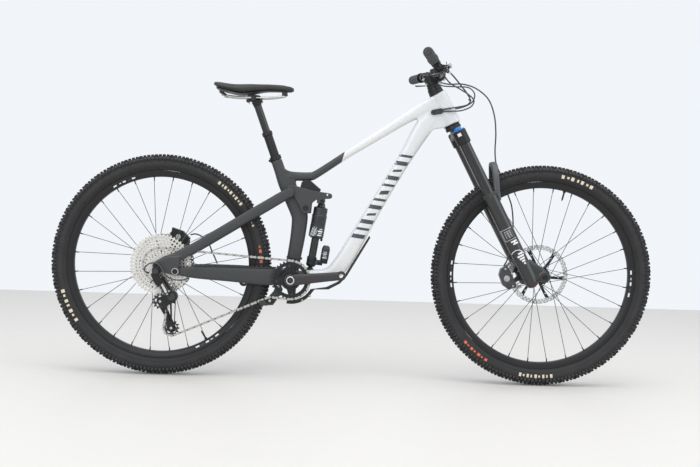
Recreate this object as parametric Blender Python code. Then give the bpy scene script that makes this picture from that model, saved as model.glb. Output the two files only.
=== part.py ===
"""Full-suspension mountain bike, built as an assembly of separate pieces.

Axes: +X forward, +Y to the rider's left, +Z up.  The origin lies on the ground, half way
between the two axles.  Sizes here are in millimetres and the finished meshes are in metres.
Points on the bike are given from the rear axle, by at(forward, left, up).  Points on the fork
and the bars are given by fork_at(along, ahead, left): along runs down the steering axis from
the middle of the head tube, and ahead is square to it, towards the front wheel.
"""

import math

import bmesh
import bpy
from mathutils import Vector

# ---------------------------------------------------------------- driving dimensions, mm
MM = 0.001
GAP = 0.3                      # between pieces that touch
WHEELBASE = 1283.5
TYRE_RADIUS = 372.0
TYRE_HALF_WIDTH = 31.0
RIM_RADIUS = 317.0             # at the flange
RIM_INNER_RADIUS = 295.0
SPOKES_PER_SIDE = 14
WHEEL_SEGMENTS = 32

HEAD_ANGLE = math.radians(62.2)
HEAD_MIDDLE = (939.4, 550.7)   # forward and up from the rear axle
HEAD_TUBE_HALF_LENGTH = 57.0
FORK_HALF_SPAN = 71.0          # from the centre plane to each stanchion
STANCHION_RADIUS = 19.0
LEG_RADIUS = 24.0
FORK_AXLE = (647.6, 47.5)      # along and ahead
KNOB_ALONG = 81.0

BOTTOM_BRACKET = (440.5, -36.9)
CRANK_LENGTH = 170.0
CRANK_ANGLE = math.radians(7.0)
CHAIN_PITCH = 12.7
CHAINRING_TEETH = 32
TOOTH_DEPTH = 4.6              # from the pitch line down to a wheel's smooth rim
CHAINRING_Y = -52.0
SPINDLE_RADIUS = 15.0
PEDAL_HOLE_RADIUS = 7.1
PEDAL_FACE_Y = 84.0

COGS = (10, 12, 14, 16, 18, 21, 24, 28, 33, 39, 45, 51)
COG_PITCH = 3.7
SMALLEST_COG_Y = -68.0
COG_IN_USE = 7                 # the 28-tooth cog
PULLEY_TEETH = 13
GUIDE_PULLEY = (5.4, -122.0)
TENSION_PULLEY = (44.2, -210.6)
CAGE_PIVOT = (46.7, -102.2)
GUIDE_ROLLER = (373.0, -108.0)
GUIDE_ROLLER_RADIUS = 12.0

MAIN_PIVOT = (432.0, -2.0)
STAY_PIVOT = (59.4, -17.2)     # chainstay to seatstay, ahead of the axle
ROCKER_PIVOT = (483.0, 205.1)
ROCKER_REAR = (428.0, 255.0)
SHOCK_TOP = (537.5, 229.8)
SHOCK_BOTTOM = (501.3, -6.9)

POST_COLLAR = (343.0, 457.5)   # top of the dropper post's outer tube
POST_DOWN = Vector((0.350, 0.0, -0.937)).normalized()
POST_RADIUS = 13.0
POST_OUTER_RADIUS = 15.2
SEAT_TUBE_TOP = 100.7          # down the post axis from the collar

BAR_CENTRE = (914.7, 665.7)
BAR_END = (852.0, 390.0, 688.0)
BAR_RADIUS = 11.1              # at the grips
GRIP_RADIUS = 16.0

RIGHT = -1                     # sides of the bike, as the sign of Y
LEFT = 1
ACROSS = Vector((0.0, 1.0, 0.0))
UPWARD = Vector((0.0, 0.0, 1.0))


def at(forward, left, up):
    """A world point in metres, from a point given from the rear axle in millimetres."""
    return Vector((forward - WHEELBASE / 2, left, up + TYRE_RADIUS)) * MM


DOWN_FORK = Vector((math.cos(HEAD_ANGLE), 0.0, -math.sin(HEAD_ANGLE)))
AHEAD_FORK = Vector((math.sin(HEAD_ANGLE), 0.0, math.cos(HEAD_ANGLE)))


def fork_at(along, ahead, left):
    """A world point in metres, from a point given on the steering axis."""
    return at(HEAD_MIDDLE[0], left, HEAD_MIDDLE[1]) + (DOWN_FORK * along + AHEAD_FORK * ahead) * MM


def post_at(down, left=0.0):
    """A world point in metres on the seat post's axis, down from the collar."""
    return at(POST_COLLAR[0], left, POST_COLLAR[1]) + POST_DOWN * down * MM


def pitch_radius(teeth):
    """The pitch radius of a chain wheel."""
    return CHAIN_PITCH / (2 * math.sin(math.pi / teeth))


# ---------------------------------------------------------------- mesh helpers
def new_mesh():
    return bmesh.new()


def finish_mesh(mesh):
    """Turn the faces outwards and drop edges of no length."""
    bmesh.ops.remove_doubles(mesh, verts=mesh.verts, dist=1e-6)
    bmesh.ops.recalc_face_normals(mesh, faces=mesh.faces)
    if mesh.calc_volume(signed=True) < 0:
        bmesh.ops.reverse_faces(mesh, faces=mesh.faces)
    return mesh


def bridge(mesh, one, two):
    """Faces between two rings, either of which may be a single vertex."""
    count = max(len(one), len(two))
    for i in range(count):
        j = (i + 1) % count
        corners = [one[i % len(one)], one[j % len(one)], two[j % len(two)], two[i % len(two)]]
        unique = list(dict.fromkeys(corners))
        if len(unique) > 2:
            mesh.faces.new(unique)


def frame_of(direction, reference=ACROSS):
    """Two unit vectors square to a direction, the first as near to the reference as it can be."""
    direction = direction.normalized()
    if abs(direction.dot(reference)) > 0.999:
        reference = UPWARD
    side = (reference - direction * reference.dot(direction)).normalized()
    return side, direction.cross(side).normalized()


def turned(start, direction, profile, segments=16):
    """A turned piece.  The profile holds (along, radius) in mm, round a closed section, or from
    the axis back to the axis."""
    mesh = new_mesh()
    direction = direction.normalized()
    side, up = frame_of(direction, Vector((1.0, 0.0, 0.0)))
    rings = []
    for along, radius in profile:
        centre = start + direction * along * MM
        if radius == 0:
            rings.append([mesh.verts.new(centre)])
            continue
        ring = []
        for i in range(segments):
            angle = 2 * math.pi * i / segments
            spoke = side * math.cos(angle) + up * math.sin(angle)
            ring.append(mesh.verts.new(centre + spoke * radius * MM))
        rings.append(ring)
    for one, two in zip(rings, rings[1:]):
        bridge(mesh, one, two)
    if profile[0][1] > 0:
        bridge(mesh, rings[-1], rings[0])
    return finish_mesh(mesh)


def cylinder(centre, radius, left_start, left_end, segments=14, bore=0.0):
    """A cylinder, or a tube where it has a bore, lying across the bike about (forward, up)."""
    start = at(centre[0], left_start, centre[1])
    length = left_end - left_start
    if bore:
        profile = [(0, bore), (0, radius), (length, radius), (length, bore)]
    else:
        profile = [(0, 0), (0, radius), (length, radius), (length, 0)]
    return turned(start, ACROSS, profile, segments)


def rod(start, end, radius, segments=12):
    """A plain round rod between two world points."""
    length = (end - start).length / MM
    return turned(start, end - start, [(0, 0), (0, radius), (length, radius), (length, 0)], segments)


def loft(stations, sides=12, squareness=2.0):
    """A solid through (point, depth, width) stations, carried along the path without twist.  On a
    path in the bike's plane the width lies across the bike, and on one that runs across the bike
    it lies fore and aft.  Squareness 2 is an ellipse, and more is boxier."""
    mesh = new_mesh()
    points = [station[0] for station in stations]
    side = ACROSS
    if abs((points[1] - points[0]).normalized().y) > 0.75:
        side = Vector((1.0, 0.0, 0.0))
    rings = []
    for i, (point, depth, width) in enumerate(stations):
        before = points[max(i - 1, 0)]
        after = points[min(i + 1, len(points) - 1)]
        side, up = frame_of(after - before, side)
        ring = []
        for k in range(sides):
            angle = 2 * math.pi * (k + 0.5) / sides
            across = math.copysign(abs(math.cos(angle)) ** (2 / squareness), math.cos(angle))
            high = math.copysign(abs(math.sin(angle)) ** (2 / squareness), math.sin(angle))
            ring.append(mesh.verts.new(point + (side * across * width + up * high * depth) * MM / 2))
        rings.append(ring)
    for one, two in zip(rings, rings[1:]):
        bridge(mesh, one, two)
    mesh.faces.new(rings[0])
    mesh.faces.new(rings[-1])
    return finish_mesh(mesh)


def tube(points, radii, sides=12):
    """A round solid along a path, with a radius at each point."""
    return loft([(p, 2 * r, 2 * r) for p, r in zip(points, radii)], sides)


def prism(outline, left_start, left_end, place=at):
    """An outline of (forward, up) points, extruded across the bike."""
    mesh = new_mesh()
    near = [mesh.verts.new(place(a, left_start, b)) for a, b in outline]
    far = [mesh.verts.new(place(a, left_end, b)) for a, b in outline]
    mesh.faces.new(near)
    mesh.faces.new(far)
    bridge(mesh, near, far)
    return finish_mesh(mesh)


def fork_prism(outline, left_start, left_end):
    """An outline of (along, ahead) points, extruded across the bike."""
    return prism(outline, left_start, left_end, lambda a, left, b: fork_at(a, b, left))


def arc(centre, radius, start, end, steps):
    """Points on an arc, with angles in degrees from the first axis towards the second."""
    points = []
    for i in range(steps + 1):
        angle = math.radians(start + (end - start) * i / steps)
        points.append((centre[0] + radius * math.cos(angle), centre[1] + radius * math.sin(angle)))
    return points


def mirrored(mesh):
    """The same shape on the other side of the bike."""
    copy = mesh.copy()
    bmesh.ops.scale(copy, vec=(1, -1, 1), verts=copy.verts)
    return finish_mesh(copy)


def on_side(make, side):
    """A right-hand piece, or its mirror image for the left side."""
    mesh = make()
    return mesh if side == RIGHT else mirrored(mesh)


def as_object(mesh, name):
    data = bpy.data.meshes.new(name)
    mesh.to_mesh(data)
    mesh.free()
    thing = bpy.data.objects.new(name, data)
    bpy.context.scene.collection.objects.link(thing)
    return thing


def combine(base, others, operation="UNION"):
    """Unite solids with the base, or cut them from it."""
    target = as_object(base, "combine_target")
    helpers = [as_object(mesh, "combine_helper") for mesh in others]
    for helper in helpers:
        modifier = target.modifiers.new("combine", "BOOLEAN")
        modifier.operation = operation
        modifier.solver = "EXACT"
        modifier.object = helper
    result = new_mesh()
    result.from_object(target, bpy.context.evaluated_depsgraph_get())
    for helper in helpers + [target]:
        data = helper.data
        bpy.data.objects.remove(helper)
        bpy.data.meshes.remove(data)
    return finish_mesh(result)


def united(*meshes):
    return combine(meshes[0], meshes[1:])


def cut(base, *cutters):
    return combine(base, cutters, "DIFFERENCE")


# ---------------------------------------------------------------- materials, bodies and nodes
FINISHES = {
    "frame_paint": ((0.70, 0.71, 0.72), 0.35, 0.1),
    "stay_paint": ((0.035, 0.036, 0.038), 0.55, 0.0),
    "black_metal": ((0.015, 0.015, 0.016), 0.4, 0.6),
    "steel": ((0.55, 0.55, 0.54), 0.3, 0.9),
    "tyre_rubber": ((0.02, 0.02, 0.02), 0.8, 0.0),
    "soft_rubber": ((0.03, 0.03, 0.032), 0.75, 0.0),
    "black_plastic": ((0.02, 0.02, 0.021), 0.5, 0.0),
    "saddle_cover": ((0.015, 0.015, 0.016), 0.6, 0.0),
    "blue_anodised": ((0.02, 0.15, 0.6), 0.35, 0.7),
}


def finish_named(name):
    """A Principled material, made once for each finish."""
    material = bpy.data.materials.get(name)
    if material:
        return material
    colour, roughness, metallic = FINISHES[name]
    material = bpy.data.materials.new(name)
    material.use_nodes = True
    shader = material.node_tree.nodes["Principled BSDF"]
    shader.inputs["Base Color"].default_value = (*colour, 1.0)
    shader.inputs["Roughness"].default_value = roughness
    shader.inputs["Metallic"].default_value = metallic
    return material


def body(name, pivot, parent=None):
    """An empty on a moving body's joint axis."""
    empty = bpy.data.objects.new(name + "_pivot", None)
    bpy.context.scene.collection.objects.link(empty)
    empty["pivot"] = pivot
    empty.location = pivot
    if parent:
        empty.parent = parent
        empty.location = pivot - Vector(parent["pivot"])
    return empty


def node(name, mesh, owner, finish, smooth=40.0):
    """One finished piece, with its origin on its body's joint axis."""
    pivot = Vector(owner["pivot"])
    bmesh.ops.translate(mesh, vec=-pivot, verts=mesh.verts)
    piece = as_object(mesh, name)
    piece.parent = owner
    piece.data.materials.append(finish_named(finish))
    piece.data.shade_smooth()
    piece.data.set_sharp_from_angle(angle=math.radians(smooth))
    return piece


def smooth_route(points, steps):
    """Points on one smooth curve through the route's own points."""
    ends = [points[0] * 2 - points[1]] + points + [points[-1] * 2 - points[-2]]
    route = []
    for i in range(1, len(ends) - 2):
        a, b, c, d = ends[i - 1:i + 3]
        for k in range(steps):
            t = k / steps
            route.append(0.5 * (b * 2 + (c - a) * t + (a * 2 - b * 5 + c * 4 - d) * t ** 2
                                + (b * 3 - a - c * 3 + d) * t ** 3))
    route.append(points[-1])
    return route


def cord(name, route, diameter, owner, steps):
    """A hose or a cable housing, as a curve with a round section and filled caps."""
    pivot = Vector(owner["pivot"])
    data = bpy.data.curves.new(name, "CURVE")
    data.dimensions = "3D"
    data.bevel_depth = diameter * MM / 2
    data.bevel_resolution = 2
    data.use_fill_caps = True
    points = smooth_route(route, steps)
    spline = data.splines.new("POLY")
    spline.points.add(len(points) - 1)
    for target, point in zip(spline.points, points):
        target.co = (*(point - pivot), 1.0)
    piece = bpy.data.objects.new(name, data)
    bpy.context.scene.collection.objects.link(piece)
    piece.parent = owner
    data.materials.append(finish_named("black_plastic"))
    return piece


# ---------------------------------------------------------------- front frame
def main_frame():
    """Top tube, down tube, seat tube, head tube and bottom bracket shell as one hollow piece."""
    def tube_through(rows, squareness=2.6):
        return loft([(at(x, 0, z), depth, width) for x, z, depth, width in rows], 10, squareness)

    top_tube = tube_through([
        (425, 311, 30, 34), (490, 311, 29, 38), (520, 323, 26, 38), (609, 384, 25, 40),
        (700, 443, 29, 42), (792, 503, 34, 44), (860, 546, 43, 45), (908, 573, 46, 40)])
    down_tube = tube_through([
        (908, 532, 60, 42), (866, 479, 60, 48), (806, 372, 46, 54), (733, 244, 47, 60),
        (662, 114, 54, 62), (602, 12, 58, 64), (560, -24, 56, 66), (505, -34, 54, 66),
        (452, -37, 44, 62)])
    seat_tube = tube_through([
        (378.6, 362.4, 37, 37), (392, 327, 38, 37), (406, 290, 42, 36), (424, 260, 52, 36),
        (445, 224, 60, 36), (459, 190, 58, 36), (463, 163, 54, 36), (457, 100, 50, 36),
        (447, 35, 47, 32), (441, -10, 46, 30), (440.5, -32, 44, 30)])
    gusset = prism([(392, 347), (406, 336), (422, 328), (446, 324), (446, 300), (400, 300)], -15, 15)
    seat_gusset = prism([(412, 312), (446, 312), (446, 290), (452, 272), (440, 256), (412, 262)], -15, 15)
    head_gusset = prism([(880, 452), (902, 483), (940, 488), (932, 520), (890, 500)], -18, 18)
    head_tube = turned(fork_at(-HEAD_TUBE_HALF_LENGTH, 0, 0), DOWN_FORK,
                       [(0, 0), (0, 25), (20, 24.5), (70, 26), (100, 28), (114, 28.5), (114, 0)], 20)
    shell = cylinder(BOTTOM_BRACKET, 25.0, -36.5, 36.5, 20)
    rocker_boss = cylinder(ROCKER_PIVOT, 16.0, -18, 18)
    main_pin = cylinder(MAIN_PIVOT, 7.0, -28, 28)
    solid = united(top_tube, down_tube, seat_tube, gusset, seat_gusset, head_gusset, head_tube, shell,
                   rocker_boss, main_pin)

    x, z = SHOCK_BOTTOM
    pocket = prism([(x - 18, z - 15), (x + 19, z - 15), (x + 30, z + 30), (x - 18, z + 30)], -11, 11)
    steerer_bore = rod(fork_at(-80, 0, 0), fork_at(80, 0, 0), 15.3, 12)
    post_bore = rod(post_at(80), post_at(232), POST_OUTER_RADIUS + GAP, 16)
    shell_bore = cylinder(BOTTOM_BRACKET, 20.3, -50, 50, 16)
    axle_bore = cylinder(ROCKER_PIVOT, 6.0 + GAP, -40, 40, 12)
    solid = cut(solid, pocket, steerer_bore, post_bore, shell_bore, axle_bore)

    lug_outline = [(x - 17, z - 17), (x - 14, z + 4), *arc((x, z), 12, 150, 30, 4),
                   (x + 15, z + 2), (x + 18, z - 17)]
    lugs = [prism(lug_outline, side * 11.2 - 3.4, side * 11.2 + 3.4) for side in (-1, 1)]
    pin = cylinder(SHOCK_BOTTOM, 4.0, -11, 11, 12)
    lugs = [cut(lug, cylinder(SHOCK_BOTTOM, 14.0, -8, 8)) for lug in lugs]
    return united(solid, *lugs, pin)


def seat_clamp():
    ring = turned(post_at(SEAT_TUBE_TOP - 14), POST_DOWN,
                  [(0, POST_OUTER_RADIUS + GAP), (0, 19.5), (13.5, 19.5),
                   (13.5, POST_OUTER_RADIUS + GAP)], 16)
    lug = rod(post_at(SEAT_TUBE_TOP - 7, -9) - AHEAD_FORK * 21 * MM,
              post_at(SEAT_TUBE_TOP - 7, 9) - AHEAD_FORK * 21 * MM, 4.6)
    return united(ring, lug)


def dropper_outer():
    bore = POST_RADIUS + GAP
    return turned(post_at(0), POST_DOWN, [
        (0, bore), (0, 16), (3, 17.6), (13, 17.6), (16, POST_OUTER_RADIUS),
        (226, POST_OUTER_RADIUS), (226, bore)], 16)


def down_tube_guard():
    """The rubber guard under the down tube, carried on as the bash guard round the chainring."""
    outer = [(704, 111), (628, -22), (606, -47), (568, -68), (520, -70)]
    ring = arc(BOTTOM_BRACKET, 84, -32, -100, 8)
    inner_ring = arc(BOTTOM_BRACKET, 73, -100, -28, 8)
    inner = [(560, -62), (599, -42), (621, -18), (700, 117)]
    return prism(outer + ring + inner_ring + inner, -17, 17)


def chain_guide():
    """The lower chain guide: a plate on the bottom bracket shell that holds a roller's block."""
    x, z = GUIDE_ROLLER
    plate = prism([(BOTTOM_BRACKET[0] - 34, -50), (BOTTOM_BRACKET[0] - 25, -70), (x + 24, z + 4),
                   (x + 12, z - 13), (x - 30, z - 18), (x - 40, z - 4), (x - 6, z + 12)], -46, -42.5)
    roller = cylinder(GUIDE_ROLLER, GUIDE_ROLLER_RADIUS - TOOTH_DEPTH, -56, -44)
    lip = prism([(x - 32, z - 12), (x - 30, z - 18), (x + 12, z - 13), (x + 10, z - 9), (x - 28, z - 13)],
                -58, -44)
    return united(plate, roller, lip)


def bottom_bracket():
    """Both bearing cups, joined through the shell by their sleeve."""
    bore = SPINDLE_RADIUS + GAP
    return turned(at(BOTTOM_BRACKET[0], -45.5, BOTTOM_BRACKET[1]), ACROSS, [
        (0, bore), (0, 22), (8.5, 22), (8.5, 20), (82.5, 20), (82.5, 22), (91, 22), (91, bore)], 16)


def rocker_axle():
    return cylinder(ROCKER_PIVOT, 6.0, -31.5, 31.5, 12)


# ---------------------------------------------------------------- rear suspension
def stay_leg(rows, squareness=2.8, sides=8):
    return loft([(at(x, y, z), depth, width) for x, y, z, depth, width in rows], sides, squareness)


def chainstay():
    """Both legs, joined by the yoke behind the bottom bracket."""
    leg = stay_leg([
        (64, -78.5, -18, 24, 6.6), (84, -78, -18.5, 29, 8), (112, -70, -19.5, 37, 12),
        (145, -60.5, -20.5, 43, 14), (240, -52.5, -23.5, 50, 14), (330, -44, -28, 56, 15),
        (372, -39.5, -29, 58, 16), (398, -33, -26, 50, 22), (412, -26, -13, 19, 16),
        (430, -22.3, -3, 18, 11)])
    x, z = MAIN_PIVOT
    side = united(leg, cylinder(STAY_PIVOT, 13.5, -82, -75.2), cylinder(MAIN_PIVOT, 10.0, -28.4, -16.6))
    yoke = prism([(384, -2), (406, -2), (410, -14), (402, -46), (388, -54), (384, -48)], -36, 36)
    whole = united(side, mirrored(side), yoke)
    return cut(whole, cylinder(MAIN_PIVOT, 7.0 + GAP, -40, 40),
               cylinder((x + 15, z), 16.4, -16.3, 16.3),
               cylinder(STAY_PIVOT, 5.0 + GAP, -95, 95, 10))


def seatstay():
    """Both legs from the dropouts to the rocker, joined by the bridge ahead of the tyre."""
    leg = stay_leg([
        (2, -82.2, 3, 30, 15.4), (30, -82, 17, 34, 15), (62, -80, 30, 34, 13), (96, -76, 50, 33, 12),
        (124, -72, 66, 32, 12), (245, -62, 142, 33, 14), (320, -51, 189, 34, 14),
        (365, -42, 217, 34, 12), (400, -36.6, 239, 34, 11), (430, -36.2, 256, 31, 11)])
    dropout = cylinder((0, 0), 16.0, -90, -74.4)
    tab = prism([(0, 14), (40, 30), (76, 34), *arc(STAY_PIVOT, 14, 30, -110, 6), (0, -15)], -90, -82.4)
    stay_bolt = cylinder(STAY_PIVOT, 5.0, -84, -75.4, 10)
    rear_end = cylinder(ROCKER_REAR, 16.0, -41.6, -30.6)
    side = united(leg, dropout, tab, stay_bolt, rear_end)
    bridge_bar = loft([(at(329.5, y, 196), 16, 9) for y in (-49, 0, 49)], 8, 3.0)
    brake_plate = prism([(14, 14), (78, 40), (84, 84), (62, 108), (30, 118), (12, 104)], 69.6, 76)
    whole = united(side, mirrored(side), bridge_bar, brake_plate)
    return cut(whole, cylinder((0, 0), 6.0 + GAP, -95, 95, 12))


def rear_axle():
    return cylinder((0, 0), 6.0, -90.2, 89.8, 12)


def rocker():
    """The two rocker plates and the web that joins them."""
    x, z = ROCKER_REAR
    nose = arc(SHOCK_TOP, 10, 60, -60, 4)
    outline = [(x - 10, z + 22), (x + 8, z + 26), (504, 264), *arc((561, 247), 9.5, 75, -75, 4),
               (519, 235), (503, 222), (500, 187), (474, 187), (460, 214), (x + 14, z - 10),
               (x - 8, z + 2)]
    plate = prism(outline, -29.6, -20.6)
    eye = prism([(520, 250), *nose, (520, 222)], -29.6, -20.6)
    side = united(plate, eye)
    web = prism([(464, 263), (466, 286), (475, 293), (493, 293), (528, 268), (526, 256), (500, 258)],
                -21.5, 21.5)
    whole = united(side, mirrored(side), web)
    return cut(whole, cylinder(ROCKER_PIVOT, 6.0 + GAP, -40, 40, 12))


SHOCK_UP = (at(SHOCK_TOP[0], 0, SHOCK_TOP[1]) - at(SHOCK_BOTTOM[0], 0, SHOCK_BOTTOM[1])).normalized()
SHOCK_AHEAD = Vector((SHOCK_UP.z, 0.0, -SHOCK_UP.x))


def shock_at(up, ahead=0.0, left=0.0):
    return at(SHOCK_BOTTOM[0], left, SHOCK_BOTTOM[1]) + (SHOCK_UP * up + SHOCK_AHEAD * ahead) * MM


def shock_damper():
    """The damper: lower eye, body, shaft and the reservoir on its bridge."""
    eye = cylinder(SHOCK_BOTTOM, 10.6, -7.6, 7.6)
    shaft = turned(shock_at(6), SHOCK_UP, [(0, 0), (0, 7), (7.5, 7), (9, 13), (14, 16.5), (41, 16.5),
                                           (43, 13.3), (134, 13.3), (134, 0)])
    link = loft([(shock_at(30, 6), 20, 20), (shock_at(32, 38), 20, 20)], 8, 3.0)
    reservoir = turned(shock_at(32, 41.5), SHOCK_UP,
                       [(0, 0), (0, 13), (3, 14), (56, 14), (62, 9), (62, 0)], 12)
    return cut(united(eye, shaft, link, reservoir), cylinder(SHOCK_BOTTOM, 4.0 + GAP, -20, 20, 12))


def shock_air_can():
    """The air can, bored to slide over the shaft, with its upper eye and bolt."""
    length = (at(SHOCK_TOP[0], 0, SHOCK_TOP[1]) - at(SHOCK_BOTTOM[0], 0, SHOCK_BOTTOM[1])).length / MM
    bore = 13.3 + GAP
    can = turned(shock_at(112), SHOCK_UP, [
        (0, bore), (0, 21), (5, 25.5), (78, 25.5), (82, 23.5), (104, 23.5), (108, 14),
        (120, 11), (120, 0), (92, 0), (92, bore)])
    eye = cylinder(SHOCK_TOP, 10.0, -9, 9)
    bolt = cylinder(SHOCK_TOP, 5.0, -20, 20, 10)
    neck = loft([(shock_at(length - 16), 18, 18), (shock_at(length - 4), 18, 18)], 8, 3.0)
    valve = rod(shock_at(105, 20.6), shock_at(118, 20.6), 3.2, 8)
    return united(can, eye, bolt, neck, valve)


# ---------------------------------------------------------------- wheels
def rim(hub):
    half = 15.0
    return turned(at(hub[0], 0, hub[1]), ACROSS, [
        (-half, RIM_RADIUS), (-11, 299), (-5, RIM_INNER_RADIUS), (5, RIM_INNER_RADIUS), (11, 299),
        (half, RIM_RADIUS), (11, 304), (-11, 304)], WHEEL_SEGMENTS)


def tyre(hub):
    width, top, low = TYRE_HALF_WIDTH, TYRE_RADIUS, RIM_RADIUS + GAP + 0.2
    return turned(at(hub[0], 0, hub[1]), ACROSS, [
        (-13, low), (-26, low + 12), (-width, low + 32), (-26, top - 5), (-13, top), (13, top),
        (26, top - 5), (width, low + 32), (26, low + 12), (13, low), (26, low + 32), (0, top - 7),
        (-26, low + 32)], WHEEL_SEGMENTS)


def spokes(hub, right_flange, left_flange):
    """All the spokes of one wheel, held by a ring on each flange and a band inside the rim."""
    centre = at(hub[0], 0, hub[1])
    band = turned(centre, ACROSS, [(-3, 289), (-3, 293), (3, 293), (3, 289)], 2 * SPOKES_PER_SIDE)
    parts = [band]
    for flange, phase in ((right_flange, 0.25), (left_flange, 0.75)):
        ring = [(flange - 1.6, 22), (flange - 1.6, 29), (flange + 1.6, 29), (flange + 1.6, 22)]
        parts.append(turned(centre, ACROSS, ring, SPOKES_PER_SIDE))
        for i in range(SPOKES_PER_SIDE):
            angle = 2 * math.pi * (i + phase) / SPOKES_PER_SIDE
            lean = angle + math.radians(50)
            inner = Vector((math.cos(lean) * 25.5, flange, math.sin(lean) * 25.5)) * MM
            outer = Vector((math.cos(angle) * 291, math.copysign(1.2, flange), math.sin(angle) * 291)) * MM
            parts.append(rod(centre + inner, centre + outer, 1.2, 3))
    return united(*parts)


def rotor(hub, start, end):
    """A brake disc with five arms, mounted on the left end of the hub."""
    disc = cylinder(hub, 101.5, start, end, 24, bore=17.6)
    windows = []
    for i in range(5):
        outline = []
        middle = 90 + 72 * i
        outline += arc(hub, 36, middle - 18, middle + 18, 1)
        outline += arc(hub, 83, middle + 29, middle - 29, 4)
        windows.append(prism(outline, start - 2, end + 2))
    return cut(disc, *windows)


def front_hub():
    return turned(at(WHEELBASE, -54.7, 0), ACROSS, [
        (0, 7.8), (0, 11), (24, 12), (24, 27), (27, 27), (29, 15), (77, 15), (79, 27), (82, 27),
        (82.5, 17), (99, 17), (99, 11),
        (109.4, 11), (109.4, 7.8)])


def rear_hub():
    return turned(at(0, -22, 0), ACROSS, [
        (0, 6.8), (0, 27), (5, 27), (5.5, 18), (50, 16), (53, 27), (56, 27), (56.5, 17), (83, 17),
        (83, 11), (95.7, 11), (95.7, 6.8)])


def cassette():
    """The freehub body with all twelve cogs in steps, hollow behind the large ones."""
    profile = [(-73.6, 6.8), (-73.6, 12)]
    for i, teeth in enumerate(COGS):
        y = SMALLEST_COG_Y + COG_PITCH * i - 0.95
        radius = pitch_radius(teeth) - TOOTH_DEPTH
        profile += [(y, radius), (y + COG_PITCH, radius)]
    inner = SMALLEST_COG_Y + COG_PITCH * (len(COGS) - 1) + 0.95
    profile[-1] = (inner, radius)
    profile += [(inner, 88), (-40, 50), (-50, 16.5), (-23, 16.5), (-23, 6.8)]
    return turned(at(0, 0, 0), ACROSS, profile)


# ---------------------------------------------------------------- drivetrain
def crank_arm(side):
    """A crank arm; side is -1 for the right arm, which points forward, and 1 for the left."""
    turn = -side
    tip_x = BOTTOM_BRACKET[0] + turn * CRANK_LENGTH * math.cos(CRANK_ANGLE)
    tip_z = BOTTOM_BRACKET[1] + turn * CRANK_LENGTH * math.sin(CRANK_ANGLE)
    rows = []
    for share, y, depth, width in ((-0.02, 65, 36, 14), (0.15, 66, 37, 14), (0.5, 70.5, 32, 13),
                                   (0.85, 76, 30, 13), (1.0, 77.2, 30, 12.6)):
        x = BOTTOM_BRACKET[0] + (tip_x - BOTTOM_BRACKET[0]) * share
        z = BOTTOM_BRACKET[1] + (tip_z - BOTTOM_BRACKET[1]) * share
        rows.append((at(x, side * y, z), depth, width))
    blade = loft(rows, 8, 3.2)
    low, high = sorted((side * 57.2, side * 74))
    boss = cylinder(BOTTOM_BRACKET, 19.5, low, high, 16)
    low, high = sorted((side * 70, side * PEDAL_FACE_Y))
    eye = cylinder((tip_x, tip_z), 16.0, low, high, 16)
    parts = [blade, boss, eye]
    if side < 0:
        parts.append(cylinder(BOTTOM_BRACKET, SPINDLE_RADIUS, -60, 56.8, 16))
    return cut(united(*parts), cylinder((tip_x, tip_z), PEDAL_HOLE_RADIUS, low - 4, high + 4))


def chainring():
    rim_radius = pitch_radius(CHAINRING_TEETH) - TOOTH_DEPTH
    ring = turned(at(BOTTOM_BRACKET[0], CHAINRING_Y, BOTTOM_BRACKET[1]), ACROSS, [
        (-4.8, SPINDLE_RADIUS + GAP), (-4.8, 23), (-1.5, 25), (-1.5, rim_radius), (1.5, rim_radius),
        (1.5, 24), (5.5, 22), (5.5, SPINDLE_RADIUS + GAP)], 20)
    windows = []
    for i in range(4):
        middle = 52 + 90 * i
        outline = arc(BOTTOM_BRACKET, 32, middle - 22, middle + 22, 1)
        outline += arc(BOTTOM_BRACKET, 50, middle + 34, middle - 34, 3)
        windows.append(prism(outline, CHAINRING_Y - 4, CHAINRING_Y + 4))
    return cut(ring, *windows)


def cog_y():
    return SMALLEST_COG_Y + COG_PITCH * COG_IN_USE


def derailleur_body():
    """The knuckles of the rear derailleur and the linkage between them."""
    hanger = cylinder((-2.5, -17), 12.0, -104, -90.6)
    knuckle = cylinder(CAGE_PIVOT, 20.0, -76, -50.2)
    link = loft([(at(-8, -97.5, -22), 24, 13), (at(4, -90, -50), 30, 16), (at(26, -74, -78), 32, 20),
                 (at(42, -63, -96), 28, 22)], 8, 3.0)
    return united(hanger, knuckle, link)


def derailleur_cage():
    """Both cage plates, held together by the pulley pins."""
    y = cog_y()
    outer = prism([*arc(CAGE_PIVOT, 16, 70, -40, 4), (60, -200), *arc(TENSION_PULLEY, 17, -20, -160, 5),
                   (30, -190), (22, -140), *arc(GUIDE_PULLEY, 14, 250, 110, 4), (20, -94)],
                  y - 7, y - 5.4)
    inner = prism([*arc(GUIDE_PULLEY, 14, 50, 230, 5), (24, -180), *arc(TENSION_PULLEY, 16, 190, 360, 5),
                   (40, -170)], y + 5.2, y + 6.6)
    pins = [cylinder(centre, 3.0, y - 6, y + 6, 12) for centre in (GUIDE_PULLEY, TENSION_PULLEY)]
    return united(outer, inner, *pins)


def pulley(centre):
    y = cog_y()
    radius = pitch_radius(PULLEY_TEETH) - TOOTH_DEPTH
    return turned(at(centre[0], y, centre[1]), ACROSS, [
        (-4.4, 3.3), (-4.4, 9), (-1.2, 10), (-1.2, radius), (1.2, radius), (1.2, 10), (4.4, 9),
        (4.4, 3.3)], 13)


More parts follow.
